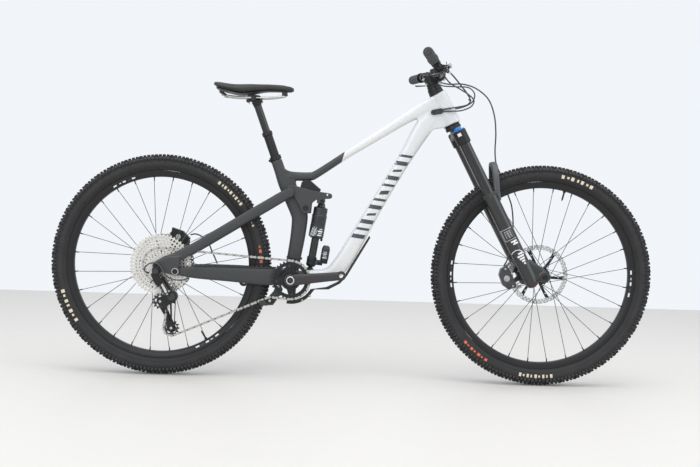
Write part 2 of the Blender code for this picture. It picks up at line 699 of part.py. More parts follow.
def chain_route():
    """Points round the chain's pitch line, as (forward, left, up)."""
    cog = cog_y()
    wheels = [(BOTTOM_BRACKET, pitch_radius(CHAINRING_TEETH), 1, CHAINRING_Y),
              ((0, 0), pitch_radius(COGS[COG_IN_USE]), 1, cog),
              (GUIDE_PULLEY, pitch_radius(PULLEY_TEETH), -1, cog),
              (TENSION_PULLEY, pitch_radius(PULLEY_TEETH), 1, cog),
              (GUIDE_ROLLER, GUIDE_ROLLER_RADIUS, -1, CHAINRING_Y)]
    leave, arrive = [], []
    for i, (one, r1, s1, _) in enumerate(wheels):
        two, r2, s2, _ = wheels[(i + 1) % len(wheels)]
        dx, dz = two[0] - one[0], two[1] - one[1]
        offset = s2 * r2 - s1 * r1
        length = math.sqrt(dx * dx + dz * dz - offset * offset)
        square = dx * dx + dz * dz
        ux = (length * dx + offset * dz) / square
        uz = (length * dz - offset * dx) / square
        leave.append(math.degrees(math.atan2(-s1 * ux, s1 * uz)))
        arrive.append(math.degrees(math.atan2(-s2 * ux, s2 * uz)))
    route = []
    for i, (centre, radius, sense, y) in enumerate(wheels):
        start = arrive[i - 1]
        sweep = (sense * (leave[i] - start)) % 360
        steps = max(2, round(sweep / 18))
        for x, z in arc(centre, radius, start, start + sense * sweep, steps):
            route.append((x, y, z))
    return route


def chain():
    """The chain as one closed band."""
    mesh = new_mesh()
    route = chain_route()
    rings = []
    for i, (x, y, z) in enumerate(route):
        before, after = route[i - 1], route[(i + 1) % len(route)]
        along = Vector((after[0] - before[0], 0, after[2] - before[2])).normalized()
        out = Vector((along.z, 0, -along.x))
        centre = at(x, y, z)
        rings.append([mesh.verts.new(centre + (out * high + ACROSS * wide) * MM)
                      for high, wide in ((-3.6, -2.4), (3.6, -2.4), (3.6, 2.4), (-3.6, 2.4))])
    for i, ring in enumerate(rings):
        bridge(mesh, ring, rings[(i + 1) % len(rings)])
    return finish_mesh(mesh)


# ---------------------------------------------------------------- fork
def fork_crown():
    """Steerer, crown and both stanchions, pressed together for good."""
    steerer = rod(fork_at(-131.5, 0, 0), fork_at(80, 0, 0), 14.0, 16)
    race = rod(fork_at(60, 0, 0), fork_at(72, 0, 0), 25.0, 16)
    bridge_bar = loft([(fork_at(along, 2, left), depth, 38) for along, left, depth in (
        (104, -71, 30), (94, -36, 34), (82, 0, 34), (94, 36, 34), (104, 71, 30))], 8, 3.0)
    parts = [steerer, race, bridge_bar]
    for side in (-1, 1):
        left = side * FORK_HALF_SPAN
        parts.append(turned(fork_at(84, 3, left), DOWN_FORK,
                            [(0, 0), (0, 21), (3, 23.5), (45, 23.5), (49, 21.5), (49, 0)]))
        parts.append(rod(fork_at(120, 3, left), fork_at(470, 3, left), STANCHION_RADIUS, 16))
    return united(*parts)


def fork_lowers():
    """Both lower legs, bored for the stanchions, with the arch and the dropouts."""
    parts = []
    for side in (-1, 1):
        left = side * FORK_HALF_SPAN
        parts.append(turned(fork_at(318, 3, left), DOWN_FORK,
                            [(0, 0), (0, 22.5), (10, LEG_RADIUS), (130, LEG_RADIUS),
                             (330, 21.8), (344, 14), (344, 0)]))
        parts.append(loft([(fork_at(590, 8, left), 60, 30), (fork_at(630, 34, left + side), 52, 26),
                           (fork_at(648, 46, left + side), 34, 24)], 8, 3.0))
        parts.append(cylinder((WHEELBASE, 0), 18, *sorted((side * 55.3, side * 88))))
    arch = loft([(fork_at(along, ahead, left), 22, 15) for along, ahead, left in (
        (352, 20, -64), (318, 34, -60), (278, 52, -50), (248, 64, -30), (237, 67, 0),
        (248, 64, 30), (278, 52, 50), (318, 34, 60), (352, 20, 64))], 8, 3.0)
    posts = fork_prism([(584, -34), (600, -34), (604, -14), (580, -14)], 50, 60)
    lower_post = fork_prism([(626, -34), (640, -34), (640, -14), (620, -14)], 50, 60)
    solid = united(*parts, arch, posts, lower_post)
    bores = [rod(fork_at(300, 3, side * FORK_HALF_SPAN), fork_at(640, 3, side * FORK_HALF_SPAN),
                 STANCHION_RADIUS + GAP + 0.4, 16) for side in (-1, 1)]
    return cut(solid, *bores, cylinder((WHEELBASE, 0), 7.5 + GAP, -92, 92, 12))


def front_axle():
    return cylinder((WHEELBASE, 0), 7.5, -88.4, 88.4, 12)


def front_calliper():
    block = fork_prism([(572, -36), (588, -34.3), (640, -34.3), (652, -40), (650, -66), (628, -78),
                        (590, -74), (574, -60)], 30, 61)
    slot = cylinder((WHEELBASE, 0), 104.5, 41.2, 45.2, 48)
    return cut(block, slot)


def rear_calliper():
    block = prism([(18, 84), (74, 64), (86, 88), (62, 112), (24, 124)], 47, 69.2)
    slot = cylinder((0, 0), 104.5, 57.0, 61.4, 48)
    return cut(block, slot)


def compression_knob():
    return turned(fork_at(KNOB_ALONG, 3, -FORK_HALF_SPAN), -DOWN_FORK,
                  [(0, 0), (0, 13), (5, 13), (6, 10), (10, 9), (10, 0)], 12)


# ---------------------------------------------------------------- cockpit
def headset_spacers():
    bore = 14.4 + GAP
    return turned(fork_at(-90.6, 0, 0), DOWN_FORK,
                  [(0, bore), (0, 18), (20, 18), (33.2, 22.5), (33.2, bore)], 16)


def stem():
    """The stem, with its face plate closed round the bar."""
    post = rod(fork_at(-131, 0, 0), fork_at(-91, 0, 0), 19.5, 16)
    x, z = BAR_CENTRE
    clamp = cylinder(BAR_CENTRE, 24.0, -26, 26, 16)
    neck = loft([(fork_at(-111, 6, 0), 32, 34), (at(x - 8, 0, z - 3), 34, 46)], 8, 3.0)
    solid = united(post, clamp, neck)
    return cut(solid, rod(fork_at(-140, 0, 0), fork_at(-80, 0, 0), 14.4 + GAP, 16),
               cylinder(BAR_CENTRE, 17.5 + 2 * GAP, -40, 40, 16))


def bar_point(left):
    """The bar's centre line at a distance from the middle, from the rear axle in mm."""
    x, z = BAR_CENTRE
    end_x, end_y, end_z = BAR_END
    rows = [(0, x, z), (40, x, z), (60, x - 0.5, z + 3), (110, x - 8, z + 12), (end_y, end_x, end_z)]
    reach = abs(left)
    for (y1, x1, z1), (y2, x2, z2) in zip(rows, rows[1:]):
        if reach <= y2:
            share = (reach - y1) / (y2 - y1)
            return (x1 + (x2 - x1) * share, left, z1 + (z2 - z1) * share)
    return (end_x, left, end_z)


def handlebar():
    half = [(390, BAR_RADIUS), (250, BAR_RADIUS), (150, 11.6), (110, 13), (85, 15.5), (60, 17.3), (38, 17.5)]
    rows = [(-y, r) for y, r in half] + [(y, r) for y, r in reversed(half)]
    return tube([at(*bar_point(y)) for y, _ in rows], [r for _, r in rows], 12)


def grip():
    """The right grip, with its collar and its closed outer end."""
    bar_end = at(*bar_point(RIGHT * 390))
    inward = (at(*bar_point(RIGHT * 255)) - bar_end).normalized()
    start = bar_end - inward * 3 * MM
    length = 140.0
    bore = BAR_RADIUS + 2 * GAP
    return turned(start, inward, [(0, 0), (0, 15), (2, GRIP_RADIUS), (length - 22, GRIP_RADIUS),
                                  (length - 20, 18), (length - 16, 18), (length - 14, GRIP_RADIUS),
                                  (length, 15), (length, bore), (2.6, bore), (2.6, 0)], 12)


def bar_ring(side, middle, width, radius):
    """A clamp round the bar."""
    start = at(*bar_point(side * (middle + width / 2)))
    inward = at(*bar_point(side * (middle - width / 2))) - start
    length = inward.length / MM
    bore = BAR_RADIUS + 3 * GAP
    return turned(start, inward, [(0, bore), (0, radius), (length, radius), (length, bore)], 12)


def off_bar(side, left, ahead, up):
    """A world point in metres ahead of and above the bar's centre line."""
    x, y, z = bar_point(side * left)
    return at(x + ahead, y, z + up)


LEVER_PIVOT = (207.0, 40.0, -16.0)     # out from the middle, then ahead of the bar and above it
LEVER_TIP = (330.0, 54.0, -20.0)


def brake_master():
    """The right brake's master cylinder, its clamp and the two ears of the lever's pivot."""
    ring = bar_ring(RIGHT, 226, 13, 16)
    outer_end = off_bar(RIGHT, 232, 8, -14)
    barrel = turned(outer_end, off_bar(RIGHT, 160, 40, -22) - outer_end,
                    [(0, 0), (0, 9), (60, 9), (66, 6), (78, 6), (78, 0)], 10)
    base = loft([(off_bar(RIGHT, 226, 0, -12), 12, 12), (off_bar(RIGHT, 222, 13, -15), 12, 12)], 8, 3.0)
    out, ahead, up = LEVER_PIVOT
    ears = []
    for rise in (-7.5, 7.5):
        ears.append(loft([(off_bar(RIGHT, out + 4, ahead - 26, up + rise * 0.9), 4, 14),
                          (off_bar(RIGHT, out - 1, ahead + 5, up + rise), 4, 12)], 8, 3.0))
    solid = united(ring, barrel, base, *ears)
    cavity = rod(off_bar(RIGHT, out, ahead, up - 5.4), off_bar(RIGHT, out, ahead, up + 5.4), 11.5, 12)
    bore = rod(off_bar(RIGHT, 260, 0, 0), off_bar(RIGHT, 190, 0, 0), 11.6 + GAP, 12)
    return cut(solid, cavity, bore)


def brake_lever():
    """The right brake's lever, with the hub it turns on."""
    out, ahead, up = LEVER_PIVOT
    tip_out, tip_ahead, tip_up = LEVER_TIP
    hub = rod(off_bar(RIGHT, out, ahead, up - 4.6), off_bar(RIGHT, out, ahead, up + 4.6), 6.5, 12)
    blade = loft([(off_bar(RIGHT, out, ahead, up), 8, 9),
                  (off_bar(RIGHT, out + 20, ahead + 12, up), 9, 8),
                  (off_bar(RIGHT, out + 60, ahead + 16, up - 1), 9, 6),
                  (off_bar(RIGHT, out + 100, ahead + 12, up - 3), 10, 6),
                  (off_bar(RIGHT, tip_out, tip_ahead, tip_up), 9, 8)], 8, 3.0)
    return united(hub, blade)


SHIFT_PIVOT = (184.0, -4.0, -27.0)
SHIFT_AXIS = Vector((0.25, 0.0, -0.97)).normalized()


def shifter_body():
    """The shifter: its clamp and the round housing under the bar."""
    ring = bar_ring(RIGHT, 184, 12, 15.6)
    out, ahead, _ = SHIFT_PIVOT
    housing = turned(off_bar(RIGHT, out, ahead, -16), SHIFT_AXIS,
                     [(0, 0), (0, 15), (3, 17), (15, 17), (18, 14), (18, 0)])
    spout = rod(off_bar(RIGHT, out, ahead + 8, -23), off_bar(RIGHT, out - 34, ahead + 22, -25), 4.5, 10)
    bore = rod(off_bar(RIGHT, 215, 0, 0), off_bar(RIGHT, 150, 0, 0), 11.9 + GAP, 12)
    return cut(united(ring, housing, spout), bore)


def shift_paddle():
    out, ahead, up = SHIFT_PIVOT
    start = off_bar(RIGHT, out, ahead + 4.8, up - 10.3)
    tip = off_bar(RIGHT, out + 24, ahead - 36, up - 12)
    disc = turned(start, SHIFT_AXIS, [(0, 0), (0, 8), (4, 8), (4, 0)], 12)
    arm = loft([(start + SHIFT_AXIS * 2 * MM, 3.8, 8), ((start + tip) / 2 + SHIFT_AXIS * MM, 4, 9),
                (tip, 5, 16)], 8, 3.0)
    return united(disc, arm)


REMOTE_PIVOT = (186.0, 2.0, -20.0)


def dropper_remote():
    """The dropper post's remote: its clamp and the fork that holds the paddle."""
    ring = bar_ring(LEFT, 186, 12, 15.6)
    out, ahead, up = REMOTE_PIVOT
    block = loft([(off_bar(LEFT, out, ahead, -13), 14, 14),
                  (off_bar(LEFT, out - 4, ahead + 8, up - 3), 14, 14)], 8, 3.0)
    spout = rod(off_bar(LEFT, out - 4, ahead + 6, up - 2),
                off_bar(LEFT, out - 36, ahead + 18, up - 4), 4, 10)
    bore = rod(off_bar(LEFT, 215, 0, 0), off_bar(LEFT, 150, 0, 0), 11.9 + GAP, 12)
    return cut(united(ring, block, spout), bore)


def dropper_paddle():
    out, ahead, up = REMOTE_PIVOT
    start = off_bar(LEFT, out - 4, ahead + 8, up - 10.6)
    tip = off_bar(LEFT, out + 26, ahead - 34, up - 14)
    disc = turned(start, -UPWARD, [(0, 0), (0, 7), (4, 7), (4, 0)], 12)
    arm_start = start - UPWARD * 2 * MM
    arm = loft([(arm_start, 3.6, 8), ((arm_start + tip) / 2, 4, 9), (tip, 5, 20)], 8, 3.0)
    return united(disc, arm)


# ---------------------------------------------------------------- saddle
RAIL_LEFT = 22.0


def rail_route():
    half = [(192, 34, 575), (236, 25, 570), (262, RAIL_LEFT, 569.5), (336, RAIL_LEFT, 570), (372, 17, 573),
            (398, 9, 577)]
    right = [at(x, -y, z) for x, y, z in half]
    left = [at(x, y, z) for x, y, z in reversed(half)]
    return right + [at(404, 0, 578)] + left


def saddle_rails():
    route = rail_route()
    return tube(route, [3.5] * len(route), 8)


def post_head():
    """The inner tube of the dropper post, with the clamp that grips the saddle's rails."""
    inner = rod(post_at(-104), post_at(132), POST_RADIUS, 16)
    neck = loft([(post_at(-92), 26, 26), (post_at(-108), 34, 36), (at(300, 0, 566), 30, 40)], 10, 2.6)
    cradle = cylinder((299, 569.5), 9.0, -29, 29)
    rails = [rod(at(250, side * RAIL_LEFT, 569.4), at(350, side * RAIL_LEFT, 570.1), 3.5 + GAP + 0.1, 10)
             for side in (RIGHT, LEFT)]
    return cut(united(inner, neck, cradle), *rails)


def saddle():
    rows = [(165, 603, 12, 60), (176, 603, 22, 116), (208, 602, 33, 146), (258, 599, 32, 128),
            (310, 597, 27, 84), (360, 596, 23, 52), (408, 595, 18, 42), (434, 596, 9, 26)]
    return loft([(at(x, 0, z), depth, width) for x, z, depth, width in rows], 16, 2.4)


# ---------------------------------------------------------------- hoses and cable housings
def front_brake_route():
    return [off_bar(LEFT, 156, 43, -23), at(965, 118, 648), at(1008, 84, 646), at(1052, 62, 630),
            at(1094, 54, 594), at(1116, 55, 541), at(1124, 58, 480), at(1124, 62, 418),
            fork_at(247, 86, 64), fork_at(300, 84, 66), fork_at(358, 76, 60), fork_at(401, 68, 50),
            fork_at(456, 45, 42), fork_at(500, 18, 39), fork_at(535, -9, 38), fork_at(556, -27, 38),
            fork_at(569.6, -46, 38)]


def rear_brake_front_route():
    return [off_bar(RIGHT, 156, 43, -23), at(962, -112, 644), at(987, -78, 622), at(1010, -52, 600),
            at(1022, -38, 580), at(1014, -30, 566), at(986, -29.5, 558), at(958, -29.5, 553)]


def derailleur_front_route():
    return [off_bar(RIGHT, 148, 19, -25.5), at(945, -114, 628), at(984, -88, 610), at(1014, -62, 596),
            at(1034, -40, 580), at(1026, -27, 560), at(994, -29, 546), at(962, -32, 543)]


def dropper_route():
    return [off_bar(LEFT, 148, 21, -25.5), at(944, 104, 640), at(986, 58, 634), at(1022, 20, 628),
            at(1040, 2, 606), at(1036, 10, 582), at(1014, 24, 566), at(982, 30, 556), at(956, 30.5, 552)]


def rear_brake_rear_route():
    return [at(86, 58, 100), at(104, 57, 103), at(126, 55, 95), at(148, 53, 76), at(162, 52, 46),
            at(174, 54, 20), at(181, 56, 3.6)]


def derailleur_rear_route():
    return [at(104, -77.5, -39.5), at(82, -88, -45), at(58, -97, -43), at(34, -103, -31),
            at(8, -108, 6), at(-16, -109, 10), at(-34, -108, -2), at(-38, -103, -16), at(-25, -99, -24)]


# ---------------------------------------------------------------- assembly
def clear_scene():
    for thing in list(bpy.data.objects):
        bpy.data.objects.remove(thing)


def build():
    clear_scene()
    frame = body("frame", at(WHEELBASE / 2, 0, -TYRE_RADIUS))
    node("main_frame", main_frame(), frame, "frame_paint")
    node("seat_clamp", seat_clamp(), frame, "black_metal")
    node("dropper_outer", dropper_outer(), frame, "black_metal")
    node("down_tube_guard", down_tube_guard(), frame, "soft_rubber")
    node("chain_guide", chain_guide(), frame, "black_plastic")
    node("bottom_bracket", bottom_bracket(), frame, "black_metal")
    node("rocker_axle", rocker_axle(), frame, "black_metal")

    post = body("post", post_at(0), frame)
    node("dropper_inner", post_head(), post, "black_metal")
    node("saddle_rails", saddle_rails(), post, "steel")
    node("saddle", saddle(), post, "saddle_cover")

    stay = body("chainstay", at(MAIN_PIVOT[0], 0, MAIN_PIVOT[1]), frame)
    node("chainstay", chainstay(), stay, "stay_paint")
    cord("rear_brake_hose", rear_brake_rear_route(), 5.0, stay, 2)
    axle_stay = body("seatstay", at(STAY_PIVOT[0], 0, STAY_PIVOT[1]), stay)
    node("seatstay", seatstay(), axle_stay, "stay_paint")
    node("rear_axle", rear_axle(), axle_stay, "black_metal")
    node("rear_calliper", rear_calliper(), axle_stay, "black_metal")
    node("derailleur_body", derailleur_body(), axle_stay, "black_metal")
    cord("derailleur_rear_housing", derailleur_rear_route(), 4.6, axle_stay, 2)
    link = body("rocker", at(ROCKER_PIVOT[0], 0, ROCKER_PIVOT[1]), frame)
    node("rocker", rocker(), link, "stay_paint")
    shock = body("shock", at(SHOCK_BOTTOM[0], 0, SHOCK_BOTTOM[1]), frame)
    node("shock_damper", shock_damper(), shock, "black_metal")
    can = body("shock_can", at(SHOCK_TOP[0], 0, SHOCK_TOP[1]), shock)
    node("shock_air_can", shock_air_can(), can, "black_metal")

    rear = body("rear_wheel", at(0, 0, 0), axle_stay)
    node("rear_tyre", tyre((0, 0)), rear, "tyre_rubber")
    node("rear_rim", rim((0, 0)), rear, "black_metal")
    node("rear_hub", rear_hub(), rear, "black_metal")
    node("rear_spokes", spokes((0, 0), -14.2, 36.2), rear, "steel")
    node("rear_rotor", rotor((0, 0), 58.2, 60.0), rear, "steel")
    cogs = body("cassette", at(0, 0, 0), axle_stay)
    node("cassette", cassette(), cogs, "steel")

    cranks = body("cranks", at(BOTTOM_BRACKET[0], 0, BOTTOM_BRACKET[1]), frame)
    node("crank_arm_right", crank_arm(-1), cranks, "black_metal")
    node("crank_arm_left", crank_arm(1), cranks, "black_metal")
    node("chainring", chainring(), cranks, "black_metal")
    node("chain", chain(), frame, "steel")
    cage = body("cage", at(CAGE_PIVOT[0], 0, CAGE_PIVOT[1]), axle_stay)
    node("derailleur_cage", derailleur_cage(), cage, "black_metal")
    for name, centre in (("guide_pulley", GUIDE_PULLEY), ("tension_pulley", TENSION_PULLEY)):
        node(name, pulley(centre), body(name, at(centre[0], 0, centre[1]), cage), "black_plastic")

    steering = body("steering", fork_at(0, 0, 0), frame)
    node("fork_crown", fork_crown(), steering, "black_metal")
    node("headset_spacers", headset_spacers(), steering, "black_metal")
    node("stem", stem(), steering, "black_metal")
    node("handlebar", handlebar(), steering, "black_metal")
    for side, name in ((RIGHT, "right"), (LEFT, "left")):
        node("grip_" + name, on_side(grip, side), steering, "soft_rubber")
        node("brake_master_" + name, on_side(brake_master, side), steering, "black_metal")
        lever = body("brake_lever_" + name, off_bar(side, *LEVER_PIVOT), steering)
        node("brake_lever_" + name, on_side(brake_lever, side), lever, "black_metal")
    node("shifter_body", shifter_body(), steering, "black_plastic")
    paddle = body("shift_paddle", off_bar(RIGHT, *SHIFT_PIVOT), steering)
    node("shift_paddle", shift_paddle(), paddle, "black_plastic")
    node("dropper_remote", dropper_remote(), steering, "black_plastic")
    out, ahead, up = REMOTE_PIVOT
    paddle = body("dropper_paddle", off_bar(LEFT, out - 4, ahead + 8, up), steering)
    node("dropper_paddle", dropper_paddle(), paddle, "black_plastic")
    knob = body("compression_knob", fork_at(KNOB_ALONG, 3, -FORK_HALF_SPAN), steering)
    node("compression_knob", compression_knob(), knob, "blue_anodised")
    cord("rear_brake_front_hose", rear_brake_front_route(), 5.0, steering, 2)
    cord("derailleur_front_housing", derailleur_front_route(), 4.6, steering, 2)
    cord("dropper_housing", dropper_route(), 4.6, steering, 2)
    cord("front_brake_hose", front_brake_route(), 5.0, steering, 1)

    legs = body("fork_lowers", fork_at(*FORK_AXLE, 0), steering)
    node("fork_lowers", fork_lowers(), legs, "black_metal")
    node("front_axle", front_axle(), legs, "black_metal")
    node("front_calliper", front_calliper(), legs, "black_metal")
    front = body("front_wheel", at(WHEELBASE, 0, 0), legs)
    hub = (WHEELBASE, 0)
    node("front_tyre", tyre(hub), front, "tyre_rubber")
    node("front_rim", rim(hub), front, "black_metal")
    node("front_hub", front_hub(), front, "black_metal")
    node("front_spokes", spokes(hub, -33.2, 30.2), front, "steel")
    node("front_rotor", rotor(hub, 42.3, 44.1), front, "steel")


build()
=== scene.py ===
"""How the mountain bike looks: finished surfaces for every sub-part, on the CAD bodies.

Axes: +X forward, +Y to the rider's left, +Z up.  Sizes here are in millimetres and the meshes
are in metres.  at(forward, left, up) is measured from the rear axle, and fork_at(along, ahead,
left) from the middle of the head tube, down the steering axis.
"""

import math

import bmesh
import bpy
from mathutils import Matrix, Quaternion, Vector
from mathutils.bvhtree import BVHTree


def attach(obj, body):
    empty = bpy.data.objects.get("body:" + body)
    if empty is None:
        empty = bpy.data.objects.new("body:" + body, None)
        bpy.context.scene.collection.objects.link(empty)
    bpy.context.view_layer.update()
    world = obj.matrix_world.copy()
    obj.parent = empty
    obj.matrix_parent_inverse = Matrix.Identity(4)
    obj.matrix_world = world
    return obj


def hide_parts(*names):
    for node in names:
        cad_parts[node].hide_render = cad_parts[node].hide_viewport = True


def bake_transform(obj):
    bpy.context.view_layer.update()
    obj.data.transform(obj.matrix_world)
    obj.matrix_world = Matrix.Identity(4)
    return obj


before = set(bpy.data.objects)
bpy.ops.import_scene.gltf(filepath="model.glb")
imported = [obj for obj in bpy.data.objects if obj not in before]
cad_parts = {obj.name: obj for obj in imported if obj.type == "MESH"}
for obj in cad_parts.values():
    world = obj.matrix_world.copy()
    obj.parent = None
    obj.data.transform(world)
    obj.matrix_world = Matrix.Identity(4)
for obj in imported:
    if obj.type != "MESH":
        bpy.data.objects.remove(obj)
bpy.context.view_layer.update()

MM = 0.001
GAP = 0.3                      # between pieces that touch
PRINT_LIFT = 0.35              # printed marks above what they lie on
SIDEWALL_LIFT = 0.5
RIM_LIFT = 0.25
WHEELBASE = 1283.5
TYRE_RADIUS = 372.0
RIM_RADIUS = 317.0             # at the flange
RIM_INNER_RADIUS = 295.0
SPOKES_PER_SIDE = 14

HEAD_ANGLE = math.radians(62.2)
HEAD_MIDDLE = (939.4, 550.7)   # forward and up from the rear axle
FORK_HALF_SPAN = 71.0          # from the centre plane to each stanchion
STANCHION_RADIUS = 19.0
LEG_RADIUS = 24.0
KNOB_ALONG = 81.0

BOTTOM_BRACKET = (440.5, -36.9)
CRANK_LENGTH = 170.0
CRANK_ANGLE = math.radians(7.0)
CHAIN_PITCH = 12.7
CHAINRING_TEETH = 32
TOOTH_DEPTH = 4.6              # from the pitch line down to a wheel's smooth rim
CHAINRING_Y = -52.0
SPINDLE_RADIUS = 15.0
SPIDER_ANGLE = 7               # degrees, of the chainring's first arm
PEDAL_HOLE_RADIUS = 7.1

COGS = (10, 12, 14, 16, 18, 21, 24, 28, 33, 39, 45, 51)
COG_PITCH = 3.7
SMALLEST_COG_Y = -68.0
COG_IN_USE = 7                 # the 28-tooth cog
PULLEY_TEETH = 13
GUIDE_PULLEY = (5.4, -122.0)
TENSION_PULLEY = (44.2, -210.6)
CAGE_PIVOT = (46.7, -102.2)
GUIDE_ROLLER = (373.0, -108.0)
GUIDE_ROLLER_RADIUS = 12.0

MAIN_PIVOT = (432.0, -2.0)
STAY_PIVOT = (59.4, -17.2)     # chainstay to seatstay, ahead of the axle
ROCKER_PIVOT = (483.0, 205.1)
ROCKER_REAR = (428.0, 255.0)
SHOCK_TOP = (537.5, 229.8)
SHOCK_BOTTOM = (501.3, -6.9)

POST_COLLAR = (343.0, 457.5)   # top of the dropper post's outer tube
POST_DOWN = Vector((0.350, 0.0, -0.937)).normalized()
POST_RADIUS = 13.0
POST_OUTER_RADIUS = 15.2
SEAT_TUBE_TOP = 100.7          # down the post axis from the collar

BAR_CENTRE = (914.7, 665.7)
BAR_END = (852.0, 390.0, 688.0)
BAR_RADIUS = 11.1              # at the grips
GRIP_RADIUS = 16.0

RIGHT = -1                     # sides of the bike, as the sign of Y
LEFT = 1
SIDES = ((RIGHT, "right"), (LEFT, "left"))
ACROSS = Vector((0.0, 1.0, 0.0))
UPWARD = Vector((0.0, 0.0, 1.0))


def at(forward, left, up):
    """A world point in metres, from a point given from the rear axle in millimetres."""
    return Vector((forward - WHEELBASE / 2, left, up + TYRE_RADIUS)) * MM


def across_at(centre, left=0):
    """A world point on the line across the bike through (forward, up)."""
    return at(centre[0], left, centre[1])


def from_axle(point):
    """A world point as (forward, left, up) from the rear axle in millimetres."""
    return (point.x / MM + WHEELBASE / 2, point.y / MM, point.z / MM - TYRE_RADIUS)


def in_plane(point):
    """A world point's (forward, up) in the bike's plane."""
    return from_axle(point)[::2]


def outward(angle):
    """The direction out from an axis that lies across the bike."""
    return Vector((math.cos(angle), 0, math.sin(angle)))


DOWN_FORK = Vector((math.cos(HEAD_ANGLE), 0.0, -math.sin(HEAD_ANGLE)))
AHEAD_FORK = Vector((math.sin(HEAD_ANGLE), 0.0, math.cos(HEAD_ANGLE)))


def fork_at(along, ahead, left):
    """A world point in metres, from a point given on the steering axis."""
    return at(HEAD_MIDDLE[0], left, HEAD_MIDDLE[1]) + (DOWN_FORK * along + AHEAD_FORK * ahead) * MM


def post_at(down, left=0.0):
    """A world point in metres on the seat post's axis, down from the collar."""
    return across_at(POST_COLLAR, left) + POST_DOWN * down * MM


def pitch_radius(teeth):
    """The pitch radius of a chain wheel."""
    return CHAIN_PITCH / (2 * math.sin(math.pi / teeth))


def finish_mesh(mesh):
    """Turn the faces outwards and drop edges of no length."""
    bmesh.ops.remove_doubles(mesh, verts=mesh.verts, dist=1e-6)
    bmesh.ops.recalc_face_normals(mesh, faces=mesh.faces)
    if mesh.calc_volume(signed=True) < 0:
        bmesh.ops.reverse_faces(mesh, faces=mesh.faces)
    return mesh


def bridge(mesh, one, two):
    """Faces between two rings, either of which may be a single vertex."""
    count = max(len(one), len(two))
    for i in range(count):
        j = (i + 1) % count
        corners = [one[i % len(one)], one[j % len(one)], two[j % len(two)], two[i % len(two)]]
        unique = list(dict.fromkeys(corners))
        if len(unique) > 2:
            mesh.faces.new(unique)


def bridge_all(mesh, rings):
    for one, two in zip(rings, rings[1:]):
        bridge(mesh, one, two)


def squarish(angle, power):
    """A point on a rounded outline of half size 1.  Power 1 is a circle, and less is boxier."""
    return [math.copysign(abs(part) ** power, part) for part in (math.cos(angle), math.sin(angle))]


def frame_of(direction, reference=ACROSS):
    """Two unit vectors square to a direction, the first as near to the reference as it can be."""
    direction = direction.normalized()
    if abs(direction.dot(reference)) > 0.999:
        reference = UPWARD
    side = (reference - direction * reference.dot(direction)).normalized()
    return side, direction.cross(side).normalized()


def turned(start, direction, profile, segments=48):
    """A turned piece.  The profile holds (along, radius) in mm, round a closed section, or from
    the axis back to the axis."""
    mesh = bmesh.new()
    direction = direction.normalized()
    side, up = frame_of(direction, Vector((1.0, 0.0, 0.0)))
    rings = []
    for along, radius in profile:
        centre = start + direction * along * MM
        if radius == 0:
            rings.append([mesh.verts.new(centre)])
            continue
        ring = []
        for i in range(segments):
            angle = 2 * math.pi * i / segments
            spoke = side * math.cos(angle) + up * math.sin(angle)
            ring.append(mesh.verts.new(centre + spoke * radius * MM))
        rings.append(ring)
    bridge_all(mesh, rings)
    if profile[0][1] > 0:
        bridge(mesh, rings[-1], rings[0])
    return finish_mesh(mesh)


def cylinder(centre, radius, left_start, left_end, segments=40):
    """A cylinder lying across the bike about (forward, up)."""
    length = left_end - left_start
    return turned(across_at(centre, left_start), ACROSS,
                  [(0, 0), (0, radius), (length, radius), (length, 0)], segments)


def rod(start, end, radius, segments=24):
    """A plain round rod between two world points."""
    length = (end - start).length / MM
    return turned(start, end - start, [(0, 0), (0, radius), (length, radius), (length, 0)], segments)


def loft(stations, sides=28, squareness=2.0):
    """A solid through (point, depth, width) stations, carried along the path without twist.  On a
    path in the bike's plane the width lies across the bike, and on one that runs across the bike
    it lies fore and aft.  Squareness 2 is an ellipse, and more is boxier."""
    mesh = bmesh.new()
    points = [station[0] for station in stations]
    side = ACROSS
    if abs((points[1] - points[0]).normalized().y) > 0.75:
        side = Vector((1.0, 0.0, 0.0))
    rings = []
    for i, (point, depth, width) in enumerate(stations):
        before = points[max(i - 1, 0)]
        after = points[min(i + 1, len(points) - 1)]
        side, up = frame_of(after - before, side)
        ring = []
        for k in range(sides):
            angle = 2 * math.pi * (k + 0.5) / sides
            across, high = squarish(angle, 2 / squareness)
            ring.append(mesh.verts.new(point + (side * across * width + up * high * depth) * MM / 2))
        rings.append(ring)
    bridge_all(mesh, rings)
    mesh.faces.new(rings[0])
    mesh.faces.new(rings[-1])
    return finish_mesh(mesh)


def tube(points, radii, sides=20):
    """A round solid along a path, with a radius at each point."""
    return loft([(p, 2 * r, 2 * r) for p, r in zip(points, radii)], sides)


def prism(outline, left_start, left_end, place=at):
    """An outline of (forward, up) points, extruded across the bike."""
    mesh = bmesh.new()
    near = [mesh.verts.new(place(a, left_start, b)) for a, b in outline]
    far = [mesh.verts.new(place(a, left_end, b)) for a, b in outline]
    mesh.faces.new(near)
    mesh.faces.new(far)
    bridge(mesh, near, far)
    return finish_mesh(mesh)


def fork_prism(outline, left_start, left_end):
    """An outline of (along, ahead) points, extruded across the bike."""
    return prism(outline, left_start, left_end, lambda a, left, b: fork_at(a, b, left))


def arc(centre, radius, start, end, steps):
    """Points on an arc, with angles in degrees from the first axis towards the second."""
    points = []
    for i in range(steps + 1):
        angle = math.radians(start + (end - start) * i / steps)
        points.append((centre[0] + radius * math.cos(angle), centre[1] + radius * math.sin(angle)))
    return points


def mirrored(mesh):
    """The same shape on the other side of the bike."""
    copy = mesh.copy()
    bmesh.ops.scale(copy, vec=(1, -1, 1), verts=copy.verts)
    return finish_mesh(copy)


def on_side(make, side):
    """A right-hand piece, or its mirror image for the left side."""
    mesh = make()
    return mesh if side == RIGHT else mirrored(mesh)


